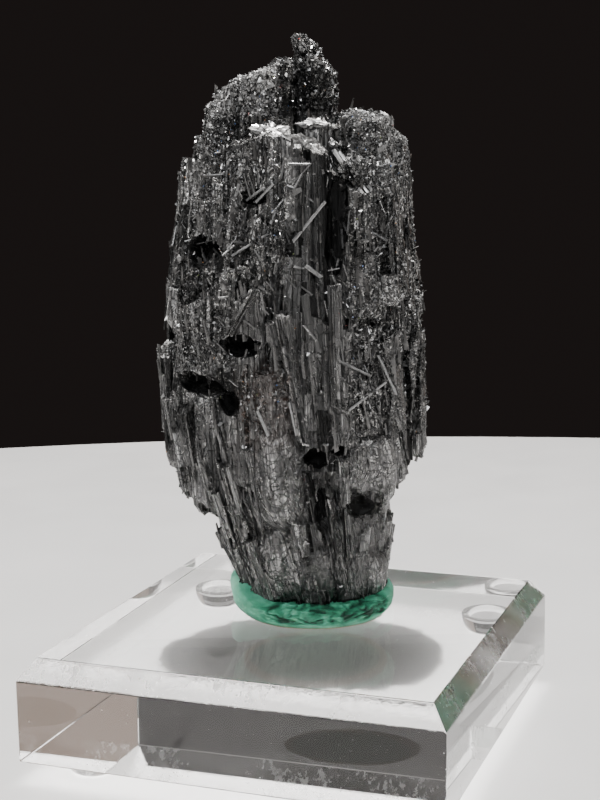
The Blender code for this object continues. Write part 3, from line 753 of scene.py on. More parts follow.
def heart_net():
    """The heart's outline: its points ring by ring, which way is out there, and the way round."""
    turns = np.concatenate([
        np.linspace(-math.pi - 0.12, 0.12, HEART_FRONT, endpoint=False),
        np.linspace(0.12, math.pi - 0.12, HEART_BEHIND, endpoint=False),
    ])
    heights = np.linspace(HEART_FOOT, HEART_TOP, HEART_ROWS)
    places = np.empty((HEART_ROWS, len(turns), 3))
    for row, height in enumerate(heights):
        inset = along(HEART_INSET, height)
        for i, turn in enumerate(turns):
            places[row, i] = outline_point(turn, height, inset)
    ahead = np.roll(places, -1, axis=1) - np.roll(places, 1, axis=1)
    outward = unit(np.stack([ahead[..., 1], -ahead[..., 0], 0 * ahead[..., 0]], -1).reshape(-1, 3))
    waist = places[HEART_ROWS // 2]
    girth = np.linalg.norm(np.diff(waist, axis=0, append=waist[:1]), axis=1)
    walk = np.concatenate([[0], np.cumsum(girth)[:-1]])
    return places.reshape(-1, 3), outward, np.tile(walk, HEART_ROWS)


def heart_relief(flat, sheared, grains):
    """How far the heart stands out from its outline, region by region."""
    height = flat[:, 2]
    facing = smooth_step(2.0, -4.0, flat[:, 1])
    (big, _), (small, _) = relief_and_shade(sheared, height)
    plain = strength(flat, PLAIN) * facing
    sugar = np.maximum(strength(flat, SUGAR), 0.7 * strength(flat, RUST)) * facing
    felt = strength(flat, FELT) * facing
    calm = 1 - 0.85 * np.maximum(plain, 0.8 * sugar)
    relief = big * calm + small * calm * (1 - 0.5 * felt)
    chips = wave_noise(flat, 2.6, seed=4)
    grainy, chipped = 0.10 + 0.34 * sugar + 0.22 * felt, 0.16 + 0.3 * felt + 0.3 * sugar
    relief += grains * grainy + chips * chipped
    relief += plain * 0.25 * wave_noise(flat * (1, 1, 0.45), 3.2, seed=8, octaves=3)
    for swell in SWELLS:
        away = ((flat[:, 0] - swell.across) / swell.wide) ** 2
        away = away + ((height - swell.height) / swell.tall) ** 2
        relief += swell.rise * np.sqrt(np.clip(1 - away, 0, 1)) * (flat[:, 1] < 0)
    return relief


def net_mesh(name, world, count):
    """Rings of this many points, in millimetres, closed with a middle point at either end."""
    verts = [tuple(place) for place in (world * MM).tolist()]
    last = len(verts) - count
    faces = []
    for base in range(0, last, count):
        for i in range(count):
            j = (i + 1) % count
            faces.append((base + i, base + j, base + count + j, base + count + i))
    for start in (0, last):
        middle = np.mean(world[start : start + count], axis=0) * MM
        for i in range(count):
            trio = (start + i, start + (i + 1) % count, len(verts))
            faces.append(trio if start else trio[::-1])
        verts.append(tuple(middle))
    mesh = bpy.data.meshes.new(name)
    mesh.from_pydata(verts, [], faces)
    return mesh


def heart_mesh():
    """The heart of the stone: a close net with a relief of broken columns, lumps and grains."""
    flat, outward, around = heart_net()
    count = len(flat) // HEART_ROWS
    height = flat[:, 2]
    lean = np.interp(height, (0, 25, 55, 90), (0.21, 0.17, 0.07, 0.02))
    sheared = around + lean * (height - 40)
    grains = wave_noise(flat, 1.3, seed=3, octaves=3)
    ends = smooth_step(-0.5, 2.0, np.minimum(height - HEART_FOOT, HEART_TOP - height))
    seam = np.minimum(np.arange(count), count - np.arange(count))
    relief = heart_relief(flat, sheared, grains) * ends
    relief = relief * np.tile(smooth_step(-1, 6, seam), HEART_ROWS)
    flat = flat + outward * relief[:, None]
    flat[:, 2] += 0.12 * grains * ends
    mesh = net_mesh("tourmaline_heart", in_world(flat), count)
    layer = mesh.uv_layers.new(name="grain")
    places = np.concatenate([np.stack([sheared, height], axis=1), [[0, 0], [0, 0]]])
    corners = read(mesh.loops, "vertex_index", kind=np.int32)
    layer.data.foreach_set("uv", places[corners].ravel())
    shape = bmesh.new()
    shape.from_mesh(mesh)
    bmesh.ops.recalc_face_normals(shape, faces=shape.faces)
    shape.to_mesh(mesh)
    shape.free()
    return mesh


INNER_ROWS, INNER_SIDES = 24, 40
INNER_INSET = 2.4


def inner_mesh():
    """A plain form inside the heart, which clears away what never shows of the crystals."""
    rows = []
    for height in np.linspace(HEART_FOOT + 2.0, HEART_TOP - 3.0, INNER_ROWS):
        inset = along(HEART_INSET, height) + INNER_INSET
        rows.append([
            tuple(lie_at(*outline_point(math.tau * i / INNER_SIDES, height, inset)))
            for i in range(INNER_SIDES)
        ])
    middle = tuple(np.mean(rows[-1], axis=0))
    inner = [tuple(mix(np.array(point), middle, 0.5)) for point in rows[-1]]
    return skin_rows(rows, inner, middle, 0, Matrix.Identity(4))


PIT_RINGS, PIT_SIDES = 6, 17
PIT_CLEAR = 4.0  # how far their mouths stand clear of the stone
PIT_FLARE = 1.5  # how much wider they are there than at their ends
PIT_SEED, PIT_NUMBER = 1000, 500  # where their seeds start, and their numbers for the grain


def pit_mesh(pit, number):
    """A ragged wedge that widens towards the front, where it stands clear of the stone."""
    chance = random.Random(PIT_SEED + number)
    across, height = pit.middle
    lean = Matrix.Rotation(math.radians(pit.lean), 2)
    mouth = front_depth(across, height) - PIT_CLEAR
    length = pit.depth + PIT_CLEAR
    rows = []
    for ring in range(PIT_RINGS + 1):
        share = ring / PIT_RINGS
        size = PIT_FLARE + (1 - PIT_FLARE) * share
        row = []
        for side in range(PIT_SIDES):
            turn = math.tau * side / PIT_SIDES
            reach = size * chance.uniform(0.78, 1.08)
            flat = Vector((math.cos(turn) * pit.width / 2, math.sin(turn) * pit.height / 2))
            aside = lean @ (flat * reach)
            row.append(tuple(lie_at(across + aside.x, mouth + length * share, height + aside.y)))
        rows.append(row)
    middle = tuple(lie_at(across, mouth + length + 0.6, height))
    inner = [tuple(0.5 * (a + b) for a, b in zip(point, middle)) for point in rows[-1]]
    return skin_rows(rows, inner, middle, PIT_NUMBER + number, Matrix.Identity(4))


def keep_outer_shell(mesh):
    """Removes the walls of any hollow that the crystals shut in, which leaves the stone solid."""
    shape = bmesh.new()
    shape.from_mesh(mesh)
    unseen = set(shape.verts)
    shells = []
    while unseen:
        edge_of_shell = [unseen.pop()]
        shell = set(edge_of_shell)
        while edge_of_shell:
            vert = edge_of_shell.pop()
            beside = {edge.other_vert(vert) for edge in vert.link_edges} - shell
            shell |= beside
            edge_of_shell += beside
        unseen -= shell
        shells.append(shell)
    outer = max(shells, key=len)
    inner = [vert for shell in shells if shell is not outer for vert in shell]
    bmesh.ops.delete(shape, geom=inner, context="VERTS")
    shape.to_mesh(mesh)
    shape.free()


def applied(holder):
    """The mesh of an object as its modifiers make it. The object itself is taken away."""
    bpy.context.view_layer.update()
    graph = bpy.context.evaluated_depsgraph_get()
    made = bpy.data.meshes.new_from_object(holder.evaluated_get(graph))
    bpy.data.objects.remove(holder)
    return made


def combine(mesh, operation, others):
    """The mesh with these joined to it or cut from it."""
    body = add_object("body", mesh)
    group = bpy.data.collections.new("loose")
    bpy.context.scene.collection.children.link(group)
    for other in others:
        group.objects.link(bpy.data.objects.new("loose", other))
    modifier = body.modifiers.new("join", "BOOLEAN")
    modifier.operation = operation
    modifier.operand_type = "COLLECTION"
    modifier.collection = group
    modifier.solver = "MANIFOLD"
    made = applied(body)
    for loose in list(group.objects):
        bpy.data.objects.remove(loose)
    bpy.data.collections.remove(group)
    keep_outer_shell(made)
    return made


def stone_meshes():
    """The crystals as one mesh, their unseen inside cut away, and the heart; both with the pits."""
    crystals = [
        *CENTRE_COLUMNS, *UPPER_LEFT, *LOWER_LEFT, *LOWER_RIGHT, *SHOULDERS, *SIDE_CHIPS,
        *ring_columns(),
    ]
    parts = [MAKERS[crystal.style](crystal, number) for number, crystal in enumerate(crystals)]
    pits = [pit_mesh(pit, number) for number, pit in enumerate(PITS)]
    bundle = combine(parts[0], "UNION", parts[1:])
    bundle = combine(bundle, "DIFFERENCE", [inner_mesh(), *[pit.copy() for pit in pits]])
    heart = combine(heart_mesh(), "DIFFERENCE", pits)
    return bundle, heart


# Painted shading from the folds of the surface: highlights on edges, shade in grooves
EDGE_SHADING_GAIN = 3.2  # how soon a fold of the surface counts as a full edge or groove


def wear_of(mesh):
    """How far each corner of a mesh stands out: -1 in a groove, 1 on an edge. The stone's colour
    turns it into painted shade in grooves and painted highlights on edges.
    """
    count = len(mesh.vertices)
    places, normals = read(mesh.vertices, "co", 3), read(mesh.vertices, "normal", 3)
    one, other = read(mesh.edges, "vertices", 2, np.int32).T
    spans = places[other] - places[one]
    lengths = np.linalg.norm(spans, axis=1)
    rise = np.zeros(count)
    reach = np.full(count, 1e-9)
    for end, spread in ((one, spans), (other, -spans)):
        rise += np.bincount(end, np.sum(spread * normals[end], axis=1), count)
        reach += np.bincount(end, lengths, count)
    return np.clip(-rise / reach * EDGE_SHADING_GAIN, -1, 1)


# Beyond these a face takes the second material, the stone's own with less sheen: painted shade
# in hollows and pits, in grooves and under felt or grains
DULL_SHADING, DULL_GROOVE, DULL_COVER = -0.7, -0.4, 0.8


def mark_regions(mesh):
    """Writes what the material reads: the region, painted shading, edge shading and blade of each
    place. Faces in the deepest painted shade, in grooves and under felt or grains go to the second
    material, a copy with less sheen that paints shade there."""
    places = in_stone(read(mesh.vertices, "co", 3))
    facing = smooth_step(2.0, -4.0, places[:, 1])
    colour = np.ones((len(places), 4))
    colour[:, 0] = strength(places, SUGAR)
    colour[:, 1] = strength(places, FELT)
    colour[:, 2] = strength(places, RUST) * facing
    colour[:, 3] = strength(places, PLAIN) * facing
    worn = wear_of(mesh)
    sizes = read(mesh.polygons, "loop_total", kind=np.int32)
    corners = read(mesh.loops, "vertex_index", kind=np.int32)
    starts = np.concatenate([[0], np.cumsum(sizes)[:-1]])
    groove = np.add.reduceat(worn[corners], starts) / sizes
    middles = np.add.reduceat(places[corners], starts, axis=0) / sizes[:, None]
    face_shading = tone_at(middles)
    covered = patches(middles) * strength(middles, FELT + SUGAR)
    grain = read(mesh.uv_layers["grain"].data, "uv", 2)
    around, height = np.add.reduceat(grain, starts, axis=0).T / sizes
    (_, big), (_, small) = relief_and_shade(around, height)
    blade = 0.65 * big + 0.35 * small
    marks = (("tone", "FACE", face_shading), ("blade", "FACE", blade), ("worn", "POINT", worn))
    for name, domain, values in marks:
        mesh.attributes.new(name, "FLOAT", domain).data.foreach_set("value", values)
    dull = (face_shading < DULL_SHADING) | (groove < DULL_GROOVE) | (covered > DULL_COVER)
    mesh.polygons.foreach_set("material_index", dull.astype(np.int32))
    layer = mesh.color_attributes.new("region", "FLOAT_COLOR", "POINT")
    layer.data.foreach_set("color", colour.ravel())


# ---------------------------------------------------------------- scattered needles and grains

class Skin:
    """The stone's surface, for scattering: its triangles, in the stone's own millimetres."""

    def __init__(self, *meshes):
        self.corners = np.concatenate([self.triangles(mesh) for mesh in meshes])
        first, second, third = self.corners.transpose(1, 0, 2)
        cross = np.cross(second - first, third - first)
        size = np.linalg.norm(cross, axis=1)
        self.area = size / 2
        self.normals = cross / np.maximum(size, 1e-12)[:, None]
        self.middles = self.corners.mean(axis=1)

    def triangles(self, mesh):
        """The three corners of each triangle of a mesh."""
        mesh.calc_loop_triangles()
        corners = read(mesh.loop_triangles, "vertices", 3, np.int32)
        return in_stone(read(mesh.vertices, "co", 3))[corners]

    def scatter(self, count, density, chance):
        """Places on the surface and the normals there, crowded by this weight of each triangle."""
        weight = self.area * density(self.middles, self.normals)
        chosen = chance.choice(len(weight), count, p=weight / weight.sum())
        a, b = chance.random((2, count, 1))
        flip = a + b > 1
        a, b = np.where(flip, 1 - a, a), np.where(flip, 1 - b, b)
        first, second, third = self.corners[chosen].transpose(1, 0, 2)
        return first + a * (second - first) + b * (third - first), self.normals[chosen]


# How far needles and grains stay below the CAD box's top and above the block
TOP_CLEAR, FOOT_CLEAR = 0.01, 0.3


def scatter_mesh(name, places, axes, sides, sizes, chance, count, blunt, tints=None):
    """Many small prisms in one mesh, with this many sides. Their sizes are half the length, width
    and thickness, and their far ends are this blunt: 1 is as wide as the near end."""
    total = len(places)
    third = np.cross(axes, sides)
    turn = (np.arange(count) / count * math.tau)[None, :] + chance.uniform(0, math.tau, (total, 1))
    reach = chance.uniform(0.8, 1.15, (total, count))
    wide = np.cos(turn) * reach * sizes[:, 1:2]
    thick = np.sin(turn) * reach * sizes[:, 2:3]
    ring = wide[:, :, None] * sides[:, None, :] + thick[:, :, None] * third[:, None, :]
    slant = chance.uniform(-0.5, 0.5, (total, 2))
    verts = np.empty((total, 2 * count, 3))
    for end, sign in enumerate((-1, 1)):
        tilt = (np.cos(turn) * slant[:, end : end + 1]) * sizes[:, 1:2]
        lengths = sign * sizes[:, 0:1] + tilt
        shrink = 1.0 if end == 0 else blunt
        verts[:, end * count : (end + 1) * count] = (
            places[:, None, :] + ring * shrink + lengths[:, :, None] * axes[:, None, :]
        )
    world = in_world(verts.reshape(-1, 3))
    world[:, 2] = np.minimum(world[:, 2], cad_high.z / MM - TOP_CLEAR)
    world[:, 2] = np.maximum(world[:, 2], BLOCK_TOP + FOOT_CLEAR)
    base = [tuple(reversed(range(count))), tuple(range(count, 2 * count))]
    base += [(i, (i + 1) % count, (i + 1) % count + count, i + count) for i in range(count)]
    faces = [
        tuple(corner + block for corner in face)
        for block in range(0, total * 2 * count, 2 * count)
        for face in base
    ]
    mesh = bpy.data.meshes.new(name)
    mesh.from_pydata((world * MM).tolist(), [], faces)
    if tints is not None:
        layer = mesh.color_attributes.new("tint", "FLOAT_COLOR", "POINT")
        layer.data.foreach_set("color", np.repeat(tints, 2 * count, axis=0).ravel())
    return mesh


def growth_axis(places):
    """The direction the columns grow in here: leaning to the left, more so near the foot."""
    lean = np.radians(np.interp(places[:, 2], (0, 25, 55, 90), (12, 10, 4, 1)))
    lean += np.radians(np.interp(places[:, 0], (-25, -5, 5, 18), (3, 2, -2, 4)))
    return unit(np.stack([-np.sin(lean), np.zeros(len(places)), np.cos(lean)], axis=1))


def laid(axes, normals, flat=1):
    """The axes turned down onto the surface, wholly or by this share."""
    return unit(axes - normals * np.sum(axes * normals, axis=1, keepdims=True) * flat)


def patches(middles):
    """Where the felt and crust lie in patches, leaving the columns between them bare, 0 to 1."""
    cover = smooth_step(-0.2, 0.3, wave_noise(middles * (1, 1, 0.6), 4.5, seed=21, octaves=3))
    return np.maximum(0.12 + 0.88 * cover, strength(middles, SUGAR))


BLADES, BLADE_SEED = 2600, 21


def blades_mesh(skin):
    """Thin splinters that lie along the columns."""
    chance = np.random.default_rng(BLADE_SEED)

    def density(middles, normals):
        steep = np.clip(1.2 - np.abs(normals[:, 2]) * 2.4, 0, 1)
        steep *= 1 + 0.9 * np.minimum(tone_at(middles), 0)
        return steep * (1.0 - 0.8 * strength(middles, PLAIN)) * (1 - 0.7 * strength(middles, SUGAR))

    places, normals = skin.scatter(BLADES, density, chance)
    axes = growth_axis(places)
    axes = unit(axes + chance.normal(0, 0.045, axes.shape))
    axes = laid(axes, normals, 0.9)
    sides = unit(np.cross(axes, normals))
    length = chance.uniform(0.7, 3.6, BLADES) * chance.uniform(0.5, 1, BLADES)
    wide, thick = chance.uniform(0.16, 0.55, BLADES), chance.uniform(0.12, 0.3, BLADES)
    sizes = np.stack([length, wide, thick], axis=1)
    places = places - normals * 0.06
    return scatter_mesh(
        "tourmaline_blades", places, axes, sides, sizes, chance, count=5, blunt=0.7
    )


def needles_mesh(skin, name, seed, total, boxes, long, thick, flat):
    """Loose and felted needles, every way over the surface, most of them in these regions."""
    chance = np.random.default_rng(seed)

    def density(middles, normals):
        felted = 0.07 + strength(middles, boxes) + 0.2 * (middles[:, 1] > 0)
        felted *= patches(middles) * (1 - 0.9 * strength(middles, BARE))
        return felted * (1 + 0.8 * np.minimum(tone_at(middles), 0))

    places, normals = skin.scatter(total, density, chance)
    spin = chance.normal(0, 1, (total, 3))
    with_grain = chance.random((total, 1)) < 0.4
    axes = unit(np.where(with_grain, growth_axis(places) + 0.3 * spin, spin))
    axes = laid(axes, normals, flat)
    sides = unit(np.cross(axes, normals + 0.01))
    length = long[0] + chance.gamma(2.0, long[1], total)
    wide = chance.uniform(*thick, total)
    sizes = np.stack([length, wide, wide * chance.uniform(0.6, 1.0, total)], axis=1)
    places = places + normals * (wide * chance.uniform(-0.2, 0.9, total))[:, None]
    return scatter_mesh(name, places, axes, sides, sizes, chance, count=3, blunt=0.7)


# Single rods that lie across the front: one end, the other end, half the width
RODS = (
    ((4.4, -11.0, 85.2), (9.2, -15.4, 77.6), 0.42), ((5.4, -11.3, 84.8), (10.1, -14.6, 77.8), 0.38),
    ((6.6, -11.6, 83.9), (10.9, -14.4, 78.2), 0.42),
    ((7.9, -12.6, 83.0), (11.4, -13.8, 79.0), 0.34),
    ((-2.9, -15.3, 69.7), (2.8, -15.5, 76.5), 0.32),
    ((-13.6, -14.7, 67.4), (-7.2, -14.6, 71.1), 0.28),
    ((-10.0, -15.5, 71.2), (-9.2, -14.2, 74.4), 0.26),
    ((-0.8, -16.0, 65.6), (1.9, -15.9, 63.5), 0.34),
    ((-9.2, -12.6, 76.5), (-6.1, -13.8, 79.6), 0.26),
    ((-12.1, -13.3, 79.7), (-12.7, -13.6, 77.6), 0.3),
    ((-2.8, -16.2, 65.5), (0.5, -15.2, 64.8), 0.24),
    ((-10.9, -12.3, 76.8), (-7.8, -13.4, 79.0), 0.24),
    ((7.2, -15.9, 76.2), (6.6, -14.4, 71.0), 0.3), ((6.4, -14.4, 39.8), (13.1, -13.0, 44.5), 0.25),
    ((11.8, -13.4, 49.4), (14.9, -12.7, 42.2), 0.3),
    ((4.4, -16.2, 49.1), (10.3, -14.6, 45.9), 0.24),
    ((-9.7, -16.0, 40.3), (-7.8, -16.4, 35.8), 0.3),
    ((-4.0, -15.8, 41.7), (-2.9, -15.8, 35.7), 0.32),
)
LOOSE_RODS, ROD_SEED = 420, 61
ROD_PLACES = ((-19, 1, 56, 83), (4, 14, 38, 74), (-20, -14, 44, 80), (2, 7, 58, 66))


def rods_mesh(skin):
    """Rods as thick as a pencil lead that have grown or fallen across the columns."""
    chance = np.random.default_rng(ROD_SEED)

    def density(middles, normals):
        return 0.003 + strength(middles, ROD_PLACES) * np.clip(-normals[:, 1], 0.01, 1) ** 2

    places, normals = skin.scatter(LOOSE_RODS, density, chance)
    axes = growth_axis(places) + chance.normal(0, 1, (LOOSE_RODS, 3)) * (0.75, 0.2, 0.75)
    axes = laid(axes, normals)
    axes = unit(axes + normals * chance.normal(0, 0.06, (LOOSE_RODS, 1)))
    wide = chance.uniform(0.13, 0.3, LOOSE_RODS)
    sizes = np.stack([chance.uniform(0.6, 2.3, LOOSE_RODS), wide, wide * 0.85], axis=1)
    places = places + normals * (wide * chance.uniform(-0.4, 0.5, LOOSE_RODS))[:, None]
    ends = np.array([(one, other) for one, other, _ in RODS])
    lengths = np.linalg.norm(ends[:, 1] - ends[:, 0], axis=1)
    widths = np.array([width for _, _, width in RODS])
    places = np.concatenate([places, ends.mean(axis=1)])
    axes = np.concatenate([axes, unit(ends[:, 1] - ends[:, 0])])
    sizes = np.concatenate([sizes, np.stack([lengths / 2, widths, widths], axis=1)])
    sides = unit(np.cross(axes, (0.1, 1.0, 0.05)))
    tints = np.ones((len(places), 4))
    tints[:, :3] = chance.uniform(0.01, 0.06, (len(places), 1))
    tints[LOOSE_RODS:, :3] = chance.uniform(0.1, 0.22, (len(RODS), 1))
    return scatter_mesh(
        "tourmaline_rods", places, axes, sides, sizes, chance, count=7, blunt=0.85, tints=tints
    )


# Pale broken plates that lie on the ledge under the peak: the middle, how much it falls to the
# right and to the front, and half its width and depth
PLATES = (
    ((-6.2, -11.0, 88.9), (0.08, 1.05), (2.9, 1.3)), ((0.9, -9.0, 90.1), (-0.05, 1.0), (2.2, 0.8)),
    ((-0.1, -12.0, 86.6), (0.42, 0.9), (3.0, 1.5)), ((4.4, -10.8, 86.7), (0.1, 0.9), (0.8, 0.6)),
)
PLATE_SIDES, PLATE_SEED = 26, 71
# The rings of a plate from its underside to its middle: share of its width, and height
PLATE_RINGS = ((0.8, -0.6), (1.0, -0.15), (0.95, 0.0), (0.6, 0.06), (0.25, 0.02))


def plates_mesh():
    """The plates of PLATES, each with a ragged rim and a tint of its own at every corner."""
    chance = np.random.default_rng(PLATE_SEED)
    turn = np.arange(PLATE_SIDES) / PLATE_SIDES * math.tau
    shape = bmesh.new()
    for middle, fall, size in PLATES:
        reach = 1 + chance.uniform(-0.22, 0.15, PLATE_SIDES)
        for waves in (2, 3, 5):
            reach += 0.16 * np.sin(turn * waves + chance.uniform(0, 6))
        rings = []
        for share, lift in PLATE_RINGS:
            across = np.cos(turn) * reach * size[0] * share
            deep = np.sin(turn) * reach * size[1] * share
            height = lift - fall[0] * across + fall[1] * deep
            height += chance.uniform(-0.09, 0.09, PLATE_SIDES)
            places = np.stack([across, deep, height], axis=1) + middle
            rings.append([shape.verts.new(lie_at(*place)) for place in places.tolist()])
        join_rings(shape, rings)
    mesh = mesh_from(shape, "tourmaline_plates")
    layer = mesh.color_attributes.new("tint", "FLOAT_COLOR", "POINT")
    for number in range(len(mesh.vertices)):
        layer.data[number].color = (*[chance.uniform(0.009, 0.04)] * 3, 1)
    return mesh


def crust_mesh(skin, name, seed, total, shares, grain):
    """Small broken grains, dark, with the painted shade and sheen of the front, and a few painted
    in the colours of glints. The shares say how dense they are everywhere, in the sugary parts, in
    the rust, on ledges and in the felt."""
    chance = np.random.default_rng(seed)
    everywhere, sugary, rusty, ledges, felted = shares

    def density(middles, normals):
        upward = np.clip(normals[:, 2], 0, 1)
        free = (1 - 0.9 * strength(middles, BARE)) * (1 + 0.7 * np.minimum(tone_at(middles), 0))
        return free * patches(middles) * (
            everywhere + sugary * strength(middles, SUGAR) + rusty * strength(middles, RUST)
            + ledges * upward + felted * strength(middles, FELT)
        )

    places, normals = skin.scatter(total, density, chance)
    axes = unit(chance.normal(0, 1, (total, 3)))
    sides = unit(np.cross(axes, chance.normal(0, 1, (total, 3))))
    glint = chance.random(total)
    size = grain[0] + chance.gamma(2.2, grain[1], total)
    size = np.where(glint > GLINTS[0][0], np.minimum(size, 0.15), size)
    sizes = np.stack([size, size * 0.9, size * chance.uniform(0.5, 1, total)], axis=1)
    tints = np.full((total, 4), 1.0)
    # The grains take the painted shade and sheen of the front
    painted_shading_gain = 2.0 ** (2.2 * tone_at(places))[:, None]
    tints[:, :3] = 0.022 * chance.uniform(0.5, 1.8, (total, 1)) * painted_shading_gain
    brown = strength(places, RUST) * chance.random(total) > 0.35
    tints[brown, :3] = np.array((0.045, 0.027, 0.02)) * chance.uniform(0.3, 1.2, (brown.sum(), 1))
    # Painted glints: a few small grains take a glint's colour
    for low, colour in GLINTS:
        tints[glint > low, :3] = colour
    return scatter_mesh(
        name, places, axes, sides, sizes, chance, count=3, blunt=0.6, tints=tints
    )


# ---------------------------------------------------------------- materials

class Nodes:
    """A material being built, node by node."""

    def __init__(self, name):
        self.material = bpy.data.materials.new(name)
        self.material.use_nodes = True
        self.tree = self.material.node_tree
        self.shader = self.tree.nodes["Principled BSDF"]

    def add(self, kind, settings=None, **inputs):
        """A new node with these settings. An input is a value or another node's output."""
        node = self.tree.nodes.new("ShaderNode" + kind)
        for key, value in (settings or {}).items():
            setattr(node, key, value)
        for key, value in inputs.items():
            self.put(node, key.replace("_", " "), value)
        return node

    def put(self, node, key, value):
        socket = node.inputs[int(key)] if key.isdigit() else node.inputs[key]
        if isinstance(value, bpy.types.NodeSocket):
            self.tree.links.new(value, socket)
        else:
            socket.default_value = value

    def surface(self, **inputs):
        """Sets the shader's inputs and gives the finished material."""
        for key, value in inputs.items():
            self.put(self.shader, key.replace("_", " "), value)
        return self.material

    def clear(self, ior, roughness, normal):
        """The finished surface of clear plastic."""
        self.surface(Base_Color=(1, 1, 1, 1), Transmission_Weight=1.0, IOR=ior)
        return self.surface(Roughness=roughness, Normal=normal)

    def attribute(self, name, part="Fac"):
        return self.add("Attribute", {"attribute_name": name}).outputs[part]

    def channel(self, colour, number):
        """Red, green or blue of a colour, by its number."""
        return self.add("SeparateColor", Color=colour).outputs[number]

    def ramp(self, factor, *stops):
        """Colours between these stops of (place, colour)."""
        node = self.add("ValToRGB", Fac=factor)
        elements = node.color_ramp.elements
        while len(elements) < len(stops):
            elements.new(0.5)
        for element, (place, colour) in zip(elements, stops):
            element.position = place
            element.color = colour if len(colour) == 4 else (*colour, 1)
        return node.outputs["Color"]

    def spread(self, value, low, high, to_low, to_high):
        """The value moved from one range to another."""
        node = self.add("MapRange")
        for i, number in enumerate((value, low, high, to_low, to_high)):
            self.put(node, str(i), number)
        return node.outputs["Result"]

    def mixed(self, share, one, other):
        node = self.add("Mix", {"data_type": "RGBA"})
        for key, value in (("0", share), ("6", one), ("7", other)):
            self.put(node, key, value)
        return node.outputs[2]

    def place(self, scale=(1, 1, 1), turn=(0, 0, 0)):
        """The place on the object, stretched and turned."""
        where = self.add("TexCoord").outputs["Object"]
        return self.add("Mapping", Vector=where, Scale=scale, Rotation=turn).outputs["Vector"]

    def noise(self, where, scale, detail=4.0, rough=0.55, skew=0.0):
        node = self.add(
            "TexNoise", Vector=where, Scale=scale, Detail=detail, Roughness=rough, Distortion=skew
        )
        return node.outputs["Fac"]

    def mapped(self, where, *scale):
        """These coordinates, stretched."""
        return self.add("Mapping", Vector=where, Scale=scale).outputs["Vector"]

    def cells(self, where, scale, feature="F1"):
        return self.add("TexVoronoi", {"feature": feature}, Vector=where, Scale=scale).outputs

    def tilted(self, cells, amount, normal=None):
        """A normal thrown off by this much, another way in every cell, as on broken facets."""
        normal = normal or self.add("NewGeometry").outputs["Normal"]
        throw = self.vector("MULTIPLY_ADD", cells["Color"], (2, 2, 2), (-1, -1, -1))
        return self.vector("NORMALIZE", self.vector("ADD", normal, self.scaled(throw, amount)))

    def vector(self, operation, *values):
        inputs = {str(i): value for i, value in enumerate(values)}
        return self.add("VectorMath", {"operation": operation}, **inputs).outputs[0]

    def scaled(self, vector, amount):
        scale = {"0": vector, "3": amount}
        return self.add("VectorMath", {"operation": "SCALE"}, **scale).outputs[0]

    def math(self, operation, *values):
        inputs = {str(i): value for i, value in enumerate(values)}
        return self.add("Math", {"operation": operation}, **inputs).outputs[0]

    def cloud(self, where, scale):
        return self.add("TexNoise", Vector=where, Scale=scale, Detail=3.0).outputs["Color"]

    def bump(self, height, distance, strength, normal=None):
        node = self.add("Bump", Height=height, Distance=distance, Strength=strength)
        if normal is not None:
            self.put(node, "Normal", normal)
        return node.outputs["Normal"]


TOURMALINE_IOR, ACRYLIC_IOR, BUMPER_IOR = 1.63, 1.49, 1.5


# What the stone's normal, colour and roughness are made from: how far it is plain, sugary or
# striped, its painted shading and rust, the lines, slats and chips along the columns, cracks and
# seams, plates, grains and specks
Patterns = namedtuple(
    "Patterns", "plain sugary striped tone rust lines slats chips cracks seams plates grains specks"
)


def stone_patterns(made):
    """The patterns of the stone, from its mesh's own values and from noise."""
    grain = made.add("UVMap", {"uv_map": "grain"}).outputs["UV"]
    space = made.place()
    regions = made.add("Attribute", {"attribute_name": "region"}).outputs
    plain = regions["Alpha"]
    regions = made.add("SeparateColor", Color=regions["Color"]).outputs
    tone = made.attribute("tone")
    sugary = made.math("MAXIMUM", regions["Red"], regions["Green"])
    mottles = made.noise(space, 170.0, 4.0, 0.6)
    sugary = made.math("MAXIMUM", sugary, made.spread(mottles, 0.55, 0.72, 0.0, 0.6))
    striped = made.math("SUBTRACT", 1.0, sugary)
    striped = made.math("MULTIPLY", striped, made.spread(plain, 0, 1, 1.0, 0.3))

    lines = made.noise(made.mapped(grain, 4.6, 0.13, 1.0), 1.0, 6.0, 0.72, 0.2)
    slats = made.cells(made.mapped(grain, 1.9, 0.2, 1.0), 1.0)
    chips = made.cells(made.mapped(grain, 3.2, 1.1, 1.0), 1.0)
    cracks = made.cells(made.mapped(grain, 1.0, 0.42, 1.0), 1.0, "DISTANCE_TO_EDGE")
    cracks = made.spread(cracks["Distance"], 0.0, 0.045, 0.0, 1.0)
    bent = made.vector("MULTIPLY", made.cloud(space, 260.0), (0.0022,) * 3)
    bent = made.vector("ADD", space, bent)
    plates = made.cells(bent, 640.0)
    seams = made.cells(bent, 640.0, "DISTANCE_TO_EDGE")["Distance"]
    seams = made.spread(seams, 0.0, 0.07, 0.0, 1.0)
    seams = made.math("MAXIMUM", seams, made.spread(plain, 0, 0.6, 1.0, 0.0))
    grains = made.cells(space, 1500.0)
    specks = made.cells(space, 3600.0)
    return Patterns(
        plain, sugary, striped, tone, regions["Blue"], lines, slats, chips, cracks, seams, plates,
        grains, specks,
    )


def stone_normal(made, on):
    """The stone's facets, then the lines and cracks across them."""
    normal = made.tilted(on.slats, made.spread(on.striped, 0.0, 1.0, 0.05, 0.15))
    normal = made.tilted(on.chips, made.spread(on.sugary, 0.0, 1.0, 0.08, 0.22), normal)
    normal = made.tilted(on.plates, made.math("MULTIPLY", on.plain, 0.24), normal)
    normal = made.tilted(on.grains, made.spread(on.sugary, 0.0, 1.0, 0.05, 0.55), normal)
    normal = made.tilted(on.specks, made.spread(on.sugary, 0.0, 1.0, 0.07, 0.45), normal)
    normal = made.bump(on.lines, 0.0003, made.spread(on.striped, 0.0, 1.0, 0.3, 0.9), normal)
    return made.bump(made.math("MULTIPLY", on.cracks, on.seams), 0.0003, 0.7, normal)


